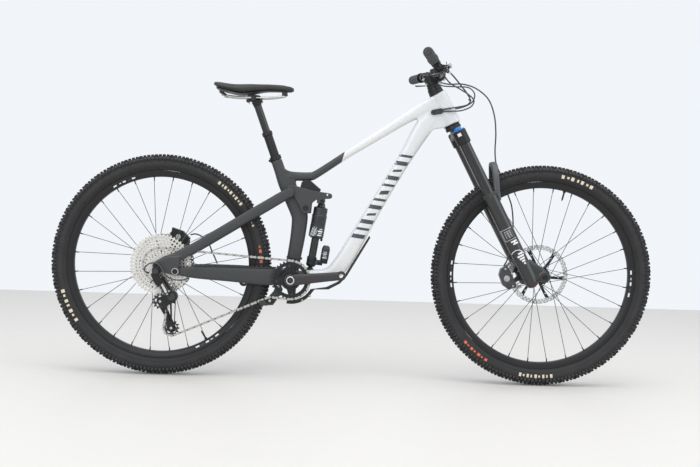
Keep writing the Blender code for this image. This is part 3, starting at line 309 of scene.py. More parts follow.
def as_object(mesh, name):
    """An object in the scene, made from a mesh."""
    data = bpy.data.meshes.new(name)
    mesh.to_mesh(data)
    mesh.free()
    thing = bpy.data.objects.new(name, data)
    bpy.context.scene.collection.objects.link(thing)
    return thing


def discard(thing):
    """Remove an object and its mesh."""
    data = thing.data
    bpy.data.objects.remove(thing)
    bpy.data.meshes.remove(data)


def applied(thing):
    """The mesh of an object with its modifiers, and the object removed."""
    result = bmesh.new()
    result.from_object(thing, bpy.context.evaluated_depsgraph_get())
    discard(thing)
    return result


def cut(base, *cutters):
    """A solid with others cut from it."""
    target = as_object(base, "cut_target")
    helpers = [as_object(mesh, "cutter") for mesh in cutters]
    for helper in helpers:
        modifier = target.modifiers.new("cut", "BOOLEAN")
        modifier.operation = "DIFFERENCE"
        modifier.solver = "EXACT"
        modifier.object = helper
    result = applied(target)
    for helper in helpers:
        discard(helper)
    return finish_mesh(result)


def smooth_route(points, steps):
    """Points on one smooth curve through the route's own points."""
    ends = [points[0] * 2 - points[1]] + points + [points[-1] * 2 - points[-2]]
    route = []
    for i in range(1, len(ends) - 2):
        a, b, c, d = ends[i - 1:i + 3]
        for k in range(steps):
            t = k / steps
            route.append(0.5 * (b * 2 + (c - a) * t + (a * 2 - b * 5 + c * 4 - d) * t ** 2
                                + (b * 3 - a - c * 3 + d) * t ** 3))
    route.append(points[-1])
    return route


# ---------------------------------------------------------------- joining and rounding meshes
def joined(*meshes):
    """Several meshes as one, each keeping its own faces."""
    whole = bmesh.new()
    for mesh in meshes:
        data = bpy.data.meshes.new("joined")
        mesh.to_mesh(data)
        mesh.free()
        whole.from_mesh(data)
        bpy.data.meshes.remove(data)
    return whole


def moulded(mesh, voxel, rounds=3, keep=0.35):
    """Overlapping solids grown together into one skin, with soft edges and joints."""
    thing = as_object(mesh, "moulding")
    remesh = thing.modifiers.new("remesh", "REMESH")
    remesh.mode = "VOXEL"
    remesh.voxel_size = voxel * MM
    remesh.adaptivity = 0.0
    smooth = thing.modifiers.new("smooth", "SMOOTH")
    smooth.factor = 0.5
    smooth.iterations = rounds
    thin = thing.modifiers.new("thin", "DECIMATE")
    thin.ratio = keep
    return applied(thing)


def smooth_rows(rows, steps):
    """Rows of numbers with more rows set smoothly between them."""
    ends = [rows[0]] + list(rows) + [rows[-1]]
    made = []
    for i in range(1, len(ends) - 2):
        a, b, c, d = ends[i - 1:i + 3]
        for k in range(steps):
            t = k / steps
            made.append(tuple(0.5 * (2 * q + (r - p) * t + (2 * p - 5 * q + 4 * r - s) * t ** 2
                                     + (3 * q - p - 3 * r + s) * t ** 3)
                              for p, q, r, s in zip(a, b, c, d)))
    made.append(tuple(rows[-1]))
    return made


def smooth_loft(rows, sides, squareness):
    """A solid through (forward, left, up, depth, width) rows, smooth along its length."""
    return loft([(at(x, y, z), depth, width) for x, y, z, depth, width in smooth_rows(rows, 4)],
                sides, squareness)


# ---------------------------------------------------------------- materials
class Nodes:
    """A short way to write a material's nodes."""

    def __init__(self, name):
        self.material = bpy.data.materials.new(name)
        self.material.use_nodes = True
        self.tree = self.material.node_tree
        self.shader = self.tree.nodes["Principled BSDF"]
        place = self.tree.nodes.new("ShaderNodeTexCoord")
        self.point = place.outputs["Object"]
        self.normal = place.outputs["Normal"]

    def link(self, source, target):
        if isinstance(source, bpy.types.NodeSocket):
            self.tree.links.new(source, target)
        else:
            target.default_value = source

    def noise(self, size, detail=3.0):
        node = self.tree.nodes.new("ShaderNodeTexNoise")
        node.inputs["Scale"].default_value = 1000.0 / size
        node.inputs["Detail"].default_value = detail
        self.tree.links.new(self.point, node.inputs["Vector"])
        return node.outputs["Fac"]

    def cells(self, size):
        node = self.tree.nodes.new("ShaderNodeTexVoronoi")
        node.inputs["Scale"].default_value = 1000.0 / size
        self.tree.links.new(self.point, node.inputs["Vector"])
        return node.outputs["Distance"]

    def part(self, vector, axis):
        node = self.tree.nodes.new("ShaderNodeSeparateXYZ")
        self.tree.links.new(vector, node.inputs[0])
        return node.outputs[axis]

    def sum(self, operation, one, two):
        node = self.tree.nodes.new("ShaderNodeMath")
        node.operation = operation
        self.link(one, node.inputs[0])
        self.link(two, node.inputs[1])
        return node.outputs[0]

    def spread(self, value, low, high, made_low, made_high):
        node = self.tree.nodes.new("ShaderNodeMapRange")
        self.link(value, node.inputs["Value"])
        node.inputs["From Min"].default_value = low
        node.inputs["From Max"].default_value = high
        node.inputs["To Min"].default_value = made_low
        node.inputs["To Max"].default_value = made_high
        return node.outputs["Result"]

    def mix(self, share, one, two):
        node = self.tree.nodes.new("ShaderNodeMix")
        node.data_type = "RGBA"
        self.link(share, node.inputs[0])
        self.link(one, node.inputs[6])
        self.link(two, node.inputs[7])
        return node.outputs[2]

    def bump(self, height, strength, depth):
        node = self.tree.nodes.new("ShaderNodeBump")
        node.inputs["Strength"].default_value = strength
        node.inputs["Distance"].default_value = depth * MM
        self.link(height, node.inputs["Height"])
        self.tree.links.new(node.outputs["Normal"], self.shader.inputs["Normal"])

    def set(self, **values):
        for name, value in values.items():
            self.link(value, self.shader.inputs[name.replace("_", " ").title()])


def tone(colour, share):
    """A colour made darker or lighter, with an alpha of 1."""
    return (*[min(1.0, c * share) for c in colour], 1.0)


def finish(name, colour, roughness, metallic=0.0, grain=0.15, size=2.0, bump=0.12, coat=0.0):
    """A surface with fine grain, broad wear and a little unevenness."""
    nodes = Nodes(name)
    fine = nodes.noise(size)
    broad = nodes.noise(70.0, 4.0)
    grained = nodes.mix(fine, tone(colour, 1 - grain), tone(colour, 1 + grain))
    worn = nodes.mix(nodes.spread(broad, 0.3, 0.7, 0.0, 0.5), grained, tone(colour, 1 + grain * 0.8))
    nodes.link(worn, nodes.shader.inputs["Base Color"])
    uneven = nodes.sum("ADD", nodes.spread(fine, 0.3, 0.7, -0.05, 0.05), broad)
    nodes.set(Roughness=nodes.spread(uneven, 0.2, 0.8, roughness - 0.07, roughness + 0.07),
              Metallic=metallic)
    nodes.shader.inputs["Coat Weight"].default_value = coat
    nodes.shader.inputs["Coat Roughness"].default_value = 0.08
    nodes.bump(fine, bump, size * 0.25)
    return nodes.material


STAY_GREY = (0.031, 0.032, 0.034)
PAINT_LINE = ((609.3, 398.5), (599.2, 363.0))    # the slanted edge between the two paints


def paint(name):
    """Pearl white ahead of the slanted line, with painted light in it (cool on upward faces, warm on
    downward ones), and matt dark grey behind it.
    """
    nodes = Nodes(name)
    top = at(PAINT_LINE[0][0], 0, PAINT_LINE[0][1])
    low = at(PAINT_LINE[1][0], 0, PAINT_LINE[1][1])
    slope = (top.x - low.x) / (top.z - low.z)
    lean = nodes.sum("MULTIPLY", nodes.part(nodes.point, 2), slope)
    ahead = nodes.sum("SUBTRACT", nodes.part(nodes.point, 0), lean)
    white_part = nodes.sum("GREATER_THAN", ahead, top.x - slope * top.z)
    fleck = nodes.noise(0.9, 2.0)
    broad = nodes.noise(150.0, 2.0)
    # painted light: the white is tinted cool blue where the surface faces up, as under the sky, and warm
    # where it faces down, as in light off the floor; broad noise shifts the border
    up = nodes.sum("ADD", nodes.part(nodes.normal, 2), nodes.spread(broad, 0.3, 0.7, -0.3, 0.3))
    pearl_and_painted_facing_light = nodes.mix(nodes.spread(up, -0.8, 0.9, 0.0, 1.0), (0.66, 0.64, 0.605, 1.0),
                      (0.57, 0.605, 0.65, 1.0))
    pearl_and_painted_facing_light = nodes.mix(nodes.spread(fleck, 0.55, 0.7, 0.0, 0.35), pearl_and_painted_facing_light, (0.70, 0.71, 0.73, 1.0))
    grey = nodes.mix(fleck, tone(STAY_GREY, 0.85), tone(STAY_GREY, 1.2))
    nodes.link(nodes.mix(white_part, grey, pearl_and_painted_facing_light), nodes.shader.inputs["Base Color"])
    nodes.set(Roughness=nodes.spread(white_part, 0.0, 1.0, 0.5, 0.33))
    nodes.link(nodes.spread(white_part, 0.0, 1.0, 0.0, 0.5), nodes.shader.inputs["Coat Weight"])
    nodes.shader.inputs["Coat Roughness"].default_value = 0.12
    nodes.bump(fleck, 0.05, 0.2)
    return nodes.material


def rubber(name, colour=(0.017, 0.017, 0.018)):
    nodes = Nodes(name)
    fine = nodes.noise(1.6, 5.0)
    dust = nodes.noise(45.0, 4.0)
    dusty = nodes.spread(dust, 0.45, 0.75, 0.0, 0.35)
    nodes.link(nodes.mix(dusty, nodes.mix(fine, tone(colour, 0.8), tone(colour, 1.35)),
                         tone(colour, 2.2)), nodes.shader.inputs["Base Color"])
    nodes.set(Roughness=nodes.spread(fine, 0.2, 0.8, 0.68, 0.86))
    nodes.bump(fine, 0.25, 0.5)
    return nodes.material


def leather(name):
    nodes = Nodes(name)
    cells = nodes.cells(1.4)
    broad = nodes.noise(50.0)
    nodes.link(nodes.mix(nodes.spread(cells, 0.0, 0.8, 0.0, 1.0), (0.022, 0.022, 0.023, 1.0),
                         (0.012, 0.012, 0.012, 1.0)), nodes.shader.inputs["Base Color"])
    nodes.set(Roughness=nodes.spread(broad, 0.3, 0.7, 0.5, 0.66))
    nodes.bump(cells, 0.3, 0.25)
    return nodes.material


def brushed(name, colour, roughness):
    """Metal with fine lines along the bike."""
    nodes = Nodes(name)
    stretch = nodes.tree.nodes.new("ShaderNodeMapping")
    stretch.inputs["Scale"].default_value = (0.04, 1.0, 1.0)
    nodes.tree.links.new(nodes.point, stretch.inputs["Vector"])
    nodes.point = stretch.outputs["Vector"]
    lines = nodes.noise(1.0, 4.0)
    nodes.link(nodes.mix(lines, tone(colour, 0.8), tone(colour, 1.15)),
               nodes.shader.inputs["Base Color"])
    nodes.set(Roughness=nodes.spread(lines, 0.3, 0.7, roughness - 0.08, roughness + 0.1), Metallic=1.0)
    nodes.bump(lines, 0.08, 0.2)
    return nodes.material


FRAME_PAINT = paint("frame_paint")
STAY_PAINT = finish("stay_paint", STAY_GREY, 0.5, grain=0.2, size=0.9, bump=0.06)
CHALK_WHITE = finish("decal_white", (0.68, 0.69, 0.70), 0.5, grain=0.06, size=3.0, bump=0.03)
DECAL_DARK = finish("decal_dark", (0.045, 0.05, 0.058), 0.4, grain=0.1, size=3.0, bump=0.03)
DECAL_GREY = finish("decal_grey", (0.32, 0.33, 0.34), 0.5, grain=0.1, size=2.0, bump=0.03)
CREAM = finish("sidewall_cream", (0.62, 0.55, 0.41), 0.7, grain=0.15, size=2.5, bump=0.1)
ORANGE = finish("sidewall_orange", (0.60, 0.13, 0.055), 0.7, grain=0.15, size=2.5, bump=0.1)
BLACK_METAL = finish("black_metal", (0.014, 0.014, 0.015), 0.38, 0.4, grain=0.25, size=1.2, bump=0.06)
BLACK_GLOSS = finish("black_gloss", (0.010, 0.010, 0.011), 0.16, 0.3, grain=0.1, size=6.0, bump=0.01,
                     coat=0.6)
FORK_BLACK = finish("fork_black", (0.015, 0.0155, 0.016), 0.34, grain=0.15, size=1.0, bump=0.05,
                    coat=0.25)
ARCH_GREY = finish("arch_grey", (0.060, 0.062, 0.066), 0.42, 0.2, grain=0.15, size=1.0, bump=0.05)
CRANK_GREY = finish("crank_grey", (0.040, 0.037, 0.041), 0.38, 0.4, grain=0.18, size=0.8, bump=0.05)
CAN_GREY = finish("can_grey", (0.045, 0.047, 0.050), 0.32, 0.5, grain=0.15, size=1.0, bump=0.05)
BLACK_PLASTIC = finish("black_plastic", (0.020, 0.020, 0.021), 0.46, grain=0.2, size=1.0, bump=0.12)
STEEL = brushed("steel", (0.56, 0.56, 0.55), 0.28)
POLISHED = brushed("polished_alloy", (0.72, 0.72, 0.72), 0.2)
SPOKE_STEEL = finish("spoke_steel", (0.075, 0.078, 0.082), 0.4, 0.4, grain=0.25, size=0.8, bump=0.04)
COG_STEEL = brushed("cog_steel", (0.66, 0.64, 0.60), 0.34)
CHAIN_STEEL = brushed("chain_steel", (0.47, 0.46, 0.44), 0.34)
LINK_DARK = brushed("link_dark", (0.13, 0.12, 0.11), 0.42)
BLUE = finish("blue_anodised", (0.03, 0.22, 0.62), 0.28, 0.7, grain=0.15, size=0.8, bump=0.04)
RED = finish("red_anodised", (0.45, 0.03, 0.02), 0.3, 0.6, grain=0.15, size=0.8, bump=0.04)
TYRE = rubber("tyre_rubber")
SOFT_RUBBER = rubber("soft_rubber", (0.026, 0.026, 0.028))
GRIP_RUBBER = rubber("grip_rubber", (0.055, 0.055, 0.058))
LEATHER = leather("saddle_cover")


# ---------------------------------------------------------------- showing a piece
def show(name, mesh, material, body, *nodes, edge=0.0, sharp=38.0):
    """A finished piece on a CAD body, standing in for the CAD nodes that are named."""
    thing = as_object(mesh, name)
    thing.data.materials.append(material)
    thing.data.shade_smooth()
    thing.data.set_sharp_from_angle(angle=math.radians(sharp))
    if edge:
        bevel = thing.modifiers.new("edges", "BEVEL")
        bevel.width = edge * MM
        bevel.segments = 2
        bevel.limit_method = "ANGLE"
        bevel.angle_limit = math.radians(40)
        bevel.harden_normals = True
    if body:
        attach(thing, body)
    if nodes:
        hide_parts(*nodes)
    return thing


def printed(name, outlines, side, target, material, body, pitch=4.0):
    """Marks laid on one side of a piece, from flat outlines of (forward, up) points."""
    tree = BVHTree.FromPolygons([v.co for v in target.data.vertices],
                                [p.vertices for p in target.data.polygons])
    whole = bmesh.new()
    for outline in outlines:
        flat = bmesh.new()
        flat.faces.new([flat.verts.new(at(x, 0, z)) for x, z in outline])
        for axis in (0, 2):
            low = min(v.co[axis] for v in flat.verts)
            high = max(v.co[axis] for v in flat.verts)
            normal = Vector((1, 0, 0)) if axis == 0 else UPWARD
            for i in range(1, int((high - low) / (pitch * MM)) + 1):
                place = normal * (low + i * pitch * MM)
                bmesh.ops.bisect_plane(flat, geom=flat.verts[:] + flat.edges[:] + flat.faces[:],
                                       plane_co=place, plane_no=normal)
        lost = []
        for vert in flat.verts:
            start = Vector((vert.co.x, side * 0.2, vert.co.z))
            hit, _, _, _ = tree.ray_cast(start, ACROSS * -side)
            if hit is None:
                lost.append(vert)
                continue
            vert.co = hit + ACROSS * side * PRINT_LIFT * MM
        bmesh.ops.delete(flat, geom=lost, context="VERTS")
        data = bpy.data.meshes.new("print")
        flat.to_mesh(data)
        flat.free()
        whole.from_mesh(data)
        bpy.data.meshes.remove(data)
    return show(name, whole, material, body)


def bolt(centre, left, side, radius, length=3.0, socket=0.45):
    """A round bolt head across the bike, with a hollow six-sided socket."""
    start = across_at(centre, left)
    direction = ACROSS * side
    head = turned(start, direction, [(0, 0), (0, radius), (length - 0.8, radius),
                                     (length, radius - 0.8), (length, radius * socket)], 24)
    well = turned(start, direction, [(length, radius * socket), (length, radius * socket * 0.98),
                                     (0.6, radius * socket * 0.98), (0.6, 0)], 6)
    return joined(head, well)


def seat_clamp():
    ring = turned(post_at(SEAT_TUBE_TOP - 14), POST_DOWN,
                  [(0, POST_OUTER_RADIUS + GAP), (0, 19.5), (13.5, 19.5),
                   (13.5, POST_OUTER_RADIUS + GAP)])
    lug = rod(post_at(SEAT_TUBE_TOP - 7, -9) - AHEAD_FORK * 21 * MM,
              post_at(SEAT_TUBE_TOP - 7, 9) - AHEAD_FORK * 21 * MM, 4.6)
    return joined(ring, lug)


def dropper_outer():
    bore = POST_RADIUS + GAP
    return turned(post_at(0), POST_DOWN, [
        (0, bore), (0, 16), (3, 17.6), (13, 17.6), (16, POST_OUTER_RADIUS),
        (226, POST_OUTER_RADIUS), (226, bore)])


def bottom_bracket():
    """Both bearing cups, joined through the shell by their sleeve."""
    bore = SPINDLE_RADIUS + GAP
    return turned(across_at(BOTTOM_BRACKET, -45.5), ACROSS, [
        (0, bore), (0, 22), (8.5, 22), (8.5, 20), (82.5, 20), (82.5, 22), (91, 22), (91, bore)])


SHOCK_UP = (across_at(SHOCK_TOP) - across_at(SHOCK_BOTTOM)).normalized()
SHOCK_AHEAD = Vector((SHOCK_UP.z, 0.0, -SHOCK_UP.x))


def shock_at(up, ahead=0.0, left=0.0):
    """A world point up the shock from its lower pin, and ahead of its axis."""
    return across_at(SHOCK_BOTTOM, left) + (SHOCK_UP * up + SHOCK_AHEAD * ahead) * MM


def cog_y():
    """How far left the cog in use stands."""
    return SMALLEST_COG_Y + COG_PITCH * COG_IN_USE


def chain_route():
    """Points round the chain's pitch line, as (forward, left, up)."""
    cog = cog_y()
    wheels = [(BOTTOM_BRACKET, pitch_radius(CHAINRING_TEETH), 1, CHAINRING_Y),
              ((0, 0), pitch_radius(COGS[COG_IN_USE]), 1, cog),
              (GUIDE_PULLEY, pitch_radius(PULLEY_TEETH), -1, cog),
              (TENSION_PULLEY, pitch_radius(PULLEY_TEETH), 1, cog),
              (GUIDE_ROLLER, GUIDE_ROLLER_RADIUS, -1, CHAINRING_Y)]
    leave, arrive = [], []
    for i, (one, r1, s1, _) in enumerate(wheels):
        two, r2, s2, _ = wheels[(i + 1) % len(wheels)]
        dx, dz = two[0] - one[0], two[1] - one[1]
        offset = s2 * r2 - s1 * r1
        length = math.sqrt(dx * dx + dz * dz - offset * offset)
        square = dx * dx + dz * dz
        ux = (length * dx + offset * dz) / square
        uz = (length * dz - offset * dx) / square
        leave.append(math.degrees(math.atan2(-s1 * ux, s1 * uz)))
        arrive.append(math.degrees(math.atan2(-s2 * ux, s2 * uz)))
    route = []
    for i, (centre, radius, sense, y) in enumerate(wheels):
        start = arrive[i - 1]
        sweep = (sense * (leave[i] - start)) % 360
        steps = max(2, round(sweep / 18))
        for x, z in arc(centre, radius, start, start + sense * sweep, steps):
            route.append((x, y, z))
    return route


def front_calliper():
    block = fork_prism([(572, -36), (588, -34.3), (640, -34.3), (652, -40), (650, -66), (628, -78),
                        (590, -74), (574, -60)], 30, 61)
    slot = cylinder((WHEELBASE, 0), 104.5, 41.2, 45.2, 48)
    return cut(block, slot)


def rear_calliper():
    block = prism([(18, 84), (74, 64), (86, 88), (62, 112), (24, 124)], 47, 69.2)
    slot = cylinder((0, 0), 104.5, 57.0, 61.4, 48)
    return cut(block, slot)


def bar_point(left):
    """The bar's centre line at a distance from the middle, from the rear axle in mm."""
    x, z = BAR_CENTRE
    end_x, end_y, end_z = BAR_END
    rows = [(0, x, z), (40, x, z), (60, x - 0.5, z + 3), (110, x - 8, z + 12), (end_y, end_x, end_z)]
    reach = abs(left)
    for (y1, x1, z1), (y2, x2, z2) in zip(rows, rows[1:]):
        if reach <= y2:
            share = (reach - y1) / (y2 - y1)
            return (x1 + (x2 - x1) * share, left, z1 + (z2 - z1) * share)
    return (end_x, left, end_z)


def bar_ring(side, middle, width, radius):
    """A clamp round the bar."""
    start = at(*bar_point(side * (middle + width / 2)))
    inward = at(*bar_point(side * (middle - width / 2))) - start
    length = inward.length / MM
    bore = BAR_RADIUS + 3 * GAP
    return turned(start, inward, [(0, bore), (0, radius), (length, radius), (length, bore)])


def off_bar(side, left, ahead, up):
    """A world point in metres ahead of and above the bar's centre line."""
    x, y, z = bar_point(side * left)
    return at(x + ahead, y, z + up)


LEVER_PIVOT = (207.0, 40.0, -16.0)     # out from the middle, then ahead of the bar and above it
LEVER_TIP = (330.0, 54.0, -20.0)

SHIFT_PIVOT = (184.0, -4.0, -27.0)
SHIFT_AXIS = Vector((0.25, 0.0, -0.97)).normalized()


def shift_paddle():
    out, ahead, up = SHIFT_PIVOT
    start = off_bar(RIGHT, out, ahead + 4.8, up - 10.3)
    tip = off_bar(RIGHT, out + 24, ahead - 36, up - 12)
    disc = turned(start, SHIFT_AXIS, [(0, 0), (0, 8), (4, 8), (4, 0)])
    arm = loft([(start + SHIFT_AXIS * 2 * MM, 3.8, 8), ((start + tip) / 2 + SHIFT_AXIS * MM, 4, 9),
                (tip, 5, 16)], 28, 3.0)
    return joined(disc, arm)


REMOTE_PIVOT = (186.0, 2.0, -20.0)


def dropper_paddle():
    out, ahead, up = REMOTE_PIVOT
    start = off_bar(LEFT, out - 4, ahead + 8, up - 10.6)
    tip = off_bar(LEFT, out + 26, ahead - 34, up - 14)
    disc = turned(start, -UPWARD, [(0, 0), (0, 7), (4, 7), (4, 0)])
    arm_start = start - UPWARD * 2 * MM
    arm = loft([(arm_start, 3.6, 8), ((arm_start + tip) / 2, 4, 9), (tip, 5, 20)], 28, 3.0)
    return joined(disc, arm)


RAIL_LEFT = 22.0


def rail_route():
    half = [(192, 34, 575), (236, 25, 570), (262, RAIL_LEFT, 569.5), (336, RAIL_LEFT, 570),
            (372, 17, 573), (398, 9, 577)]
    right = [at(x, -y, z) for x, y, z in half]
    left = [at(x, y, z) for x, y, z in reversed(half)]
    return right + [at(404, 0, 578)] + left


def front_brake_route():
    return [off_bar(LEFT, 156, 43, -23), at(965, 118, 648), at(1008, 84, 646), at(1052, 62, 630),
            at(1094, 54, 594), at(1116, 55, 541), at(1124, 58, 480), at(1124, 62, 418),
            fork_at(247, 86, 64), fork_at(300, 84, 66), fork_at(358, 76, 60), fork_at(401, 68, 50),
            fork_at(456, 45, 42), fork_at(500, 18, 39), fork_at(535, -9, 38), fork_at(556, -27, 38),
            fork_at(569.6, -46, 38)]


def rear_brake_front_route():
    return [off_bar(RIGHT, 156, 43, -23), at(962, -112, 644), at(987, -78, 622), at(1010, -52, 600),
            at(1022, -38, 580), at(1014, -30, 566), at(986, -29.5, 558), at(958, -30.5, 553),
            at(932, -26.5, 548)]


def derailleur_front_route():
    return [off_bar(RIGHT, 148, 19, -25.5), at(945, -114, 628), at(984, -88, 610), at(1014, -62, 596),
            at(1034, -40, 580), at(1026, -27, 560), at(994, -29, 546), at(962, -32, 543),
            at(930, -26.5, 541)]


def dropper_route():
    return [off_bar(LEFT, 148, 21, -25.5), at(944, 104, 640), at(986, 58, 634), at(1022, 20, 628),
            at(1040, 2, 606), at(1036, 10, 582), at(1014, 24, 566), at(982, 30, 556),
            at(956, 30.5, 552)]


def rear_brake_rear_route():
    return [at(86, 58, 100), at(104, 57, 103), at(126, 55, 95), at(148, 53, 76), at(162, 52, 46),
            at(174, 54, 20), at(181, 56, 3.6)]


def derailleur_rear_route():
    return [at(104, -77.5, -39.5), at(82, -88, -45), at(58, -97, -43), at(34, -103, -31),
            at(8, -108, 6), at(-16, -109, 10), at(-34, -108, -2), at(-38, -103, -16), at(-25, -99, -24)]


# ---------------------------------------------------------------- front frame
def main_frame():
    """The front frame as one moulded shell with blended joints."""
    def tube_through(rows, squareness=2.6):
        return smooth_loft([(x, 0, z, depth, width) for x, z, depth, width in rows], 32, squareness)

    top_tube = tube_through([
        (425, 311, 30, 34), (490, 311, 29, 38), (520, 323, 26, 38), (609, 384, 25, 40),
        (700, 443, 29, 42), (792, 503, 34, 44), (860, 546, 43, 45), (908, 573, 46, 40)], 3.2)
    down_tube = tube_through([
        (908, 532, 60, 42), (866, 479, 60, 48), (806, 372, 46, 54), (733, 244, 47, 60),
        (662, 114, 54, 62), (602, 12, 56, 64), (560, -18, 43, 64), (505, -25, 42, 62),
        (452, -34, 44, 60)], 3.4)
    seat_tube = tube_through([
        (378.6, 362.4, 37, 37), (392, 327, 38, 37), (406, 290, 42, 36), (424, 260, 52, 36),
        (445, 224, 60, 36), (459, 190, 58, 36), (463, 163, 54, 36), (457, 100, 50, 36),
        (447, 35, 47, 32), (441, -10, 46, 30), (440.5, -32, 44, 30)])
    gusset = prism([(392, 347), (406, 336), (422, 328), (446, 324), (446, 300), (400, 300)], -15, 15)
    web = prism([(846, 530), (878, 556), (912, 586), (934, 552), (938, 520), (944, 489), (904, 482),
                 (880, 454), (862, 470), (852, 500)], -20, 20)
    fill = prism([(412, 312), (446, 312), (446, 290), (452, 272), (440, 256), (412, 262)], -16, 16)
    head_tube = smooth_loft([(*from_axle(fork_at(along, ahead, 0)), depth, width) for along, ahead,
                             depth, width in ((-57, 4, 58, 50), (-20, 4.5, 58, 51), (25, 4.5, 58, 54),
                                              (57, 4, 59, 56))], 48, 2.2)
    shell = cylinder(BOTTOM_BRACKET, 25.0, -36.5, 36.5, 40)
    rocker_boss = cylinder(ROCKER_PIVOT, 16.0, -18, 18)
    pivot_boss = cylinder(MAIN_PIVOT, 13.0, -16, 16)
    x, z = SHOCK_BOTTOM
    lugs = [prism([(x - 17, z - 17), (x - 14, z + 4), *arc((x, z), 12, 150, 30, 8), (x + 15, z + 2),
                   (x + 18, z - 17)], side * 11.2 - 3.4, side * 11.2 + 3.4) for side, _ in SIDES]
    return moulded(joined(top_tube, down_tube, seat_tube, gusset, fill, web, head_tube, shell,
                          rocker_boss, pivot_boss, *lugs), 2.2, 7, 0.5)


def frame_pieces():
    shell = show("front_frame_shell", main_frame(), FRAME_PAINT, "frame", "main_frame", sharp=60)

    low, high = (657.0, 105.0), (820.0, 399.0)     # ends of the bars' run up the down tube
    span = math.hypot(high[0] - low[0], high[1] - low[1])
    along = ((high[0] - low[0]) / span, (high[1] - low[1]) / span)
    across = (along[1], -along[0])

    def on_tube(s, t):
        return (low[0] + along[0] * s + across[0] * t, low[1] + along[1] * s + across[1] * t)

    marks = []
    for i, (reach, depth) in enumerate(((20, 15), (20, 9), (20, 15), (13, 9), (20, 15), (20, 9),
                                        (13, 15), (20, 9), (20, 15), (13, 9), (20, 15), (20, 9))):
        s = 12 + i * (span - 24) / 11
        lean = 8
        marks.append([on_tube(s - depth / 2 - lean, -reach), on_tube(s + depth / 2 - lean, -reach),
                      on_tube(s + depth / 2 + lean, reach), on_tube(s - depth / 2 + lean, reach)])
    for side, word in SIDES:
        printed("down_tube_bars_" + word, marks, side, shell, DECAL_DARK, "frame")

    for side, word in SIDES:
        outline = [*arc((925, 543), 9.5, 80, -90, 8), *arc((902, 538), 9.0, 270, 95, 8)]
        port = moulded(prism(outline, *sorted((side * 12, side * 26.5))), 1.0, 3, 0.5)
        show("cable_port_" + word, port, SOFT_RUBBER, "frame")
        show("cable_port_screw_" + word, bolt((904, 539), side * 26, side, 3.2, 1.2), BLACK_METAL,
             "frame")
        show("main_pivot_cap_" + word, bolt(MAIN_PIVOT, side * 28.2, side, 9.5, 3.0), BLACK_METAL,
             "frame")

    bearing = turned(fork_at(-58.5, 0, 0), DOWN_FORK, [(0, 15), (0, 25), (1.3, 25.4), (1.3, 15)], 48)
    show("upper_headset_ring", bearing, BLACK_METAL, "frame")
    lower = turned(fork_at(56.8, 0, 0), DOWN_FORK, [(0, 15), (0, 28.4), (2.2, 28), (2.2, 15)], 48)
    show("lower_headset_ring", lower, BLACK_METAL, "frame")
    boot = turned(at(449, 0, 40), Vector((-0.1, 0, -1)), [(0, 0), (0, 20), (2, 25), (5, 25.6), (8, 25),
                                                          (10, 20), (10, 0)], 40)
    bmesh.ops.scale(boot, vec=(1.05, 0.72, 1), space=Matrix.Translation(-at(449, 0, 40)),
                    verts=boot.verts)
    show("seat_tube_boot", boot, SOFT_RUBBER, "frame")

    show("seat_post_clamp", joined(seat_clamp(), bolt((363.5, 356), -9.5, RIGHT, 3.8, 3)), BLACK_METAL,
         "frame", "seat_clamp", edge=0.6)
    show("dropper_post_outer",
         joined(dropper_outer(), turned(post_at(3.5), POST_DOWN,
                                        [(0, 17.0), (0, 18.1), (1.2, 18.1), (1.2, 17.0)], 48)),
         BLACK_METAL, "frame", "dropper_outer", edge=0.4)

    outer = [(704, 111), (628, -22), (606, -47), (568, -68), (520, -70)]
    ring = arc(BOTTOM_BRACKET, 84, -32, -100, 20)
    inner_ring = arc(BOTTOM_BRACKET, 73, -100, -28, 20)
    inner = [(560, -62), (599, -42), (621, -18), (700, 117)]
    guard = moulded(prism(outer + ring + inner_ring + inner, -17, 17), 1.6, 3, 0.4)
    show("down_tube_guard_moulding", guard, SOFT_RUBBER, "frame", "down_tube_guard")
    show("guard_bolts", joined(bolt((505, -92), -17.2, RIGHT, 4.2),
                               bolt((480, -108), -17.2, RIGHT, 4.2)), STEEL, "frame")

    show("bottom_bracket_cups", joined(bottom_bracket(), *[
        turned(across_at(BOTTOM_BRACKET, side * 38), ACROSS * side,
               [(0, 21), (0, 22.6), (1, 22.6), (1, 21)], 48) for side, _ in SIDES]),
        BLACK_METAL, "frame", "bottom_bracket", edge=0.4)
    show("rocker_pivot_axle", joined(
        cylinder(ROCKER_PIVOT, 6.0, -30.4, 30.4),
        bolt(ROCKER_PIVOT, -29.8, RIGHT, 8.2, 3.0), bolt(ROCKER_PIVOT, 29.8, LEFT, 8.2, 3.0)),
        BLACK_METAL, "frame", "rocker_axle")
    show("rocker_pivot_rings",
         joined(*[turned(across_at(ROCKER_PIVOT, side * 29.4), ACROSS * side,
                         [(0, 8.6), (0, 11.2), (1.0, 10.8), (1.0, 8.6)], 40) for side, _ in SIDES]),
         CAN_GREY, "rocker")


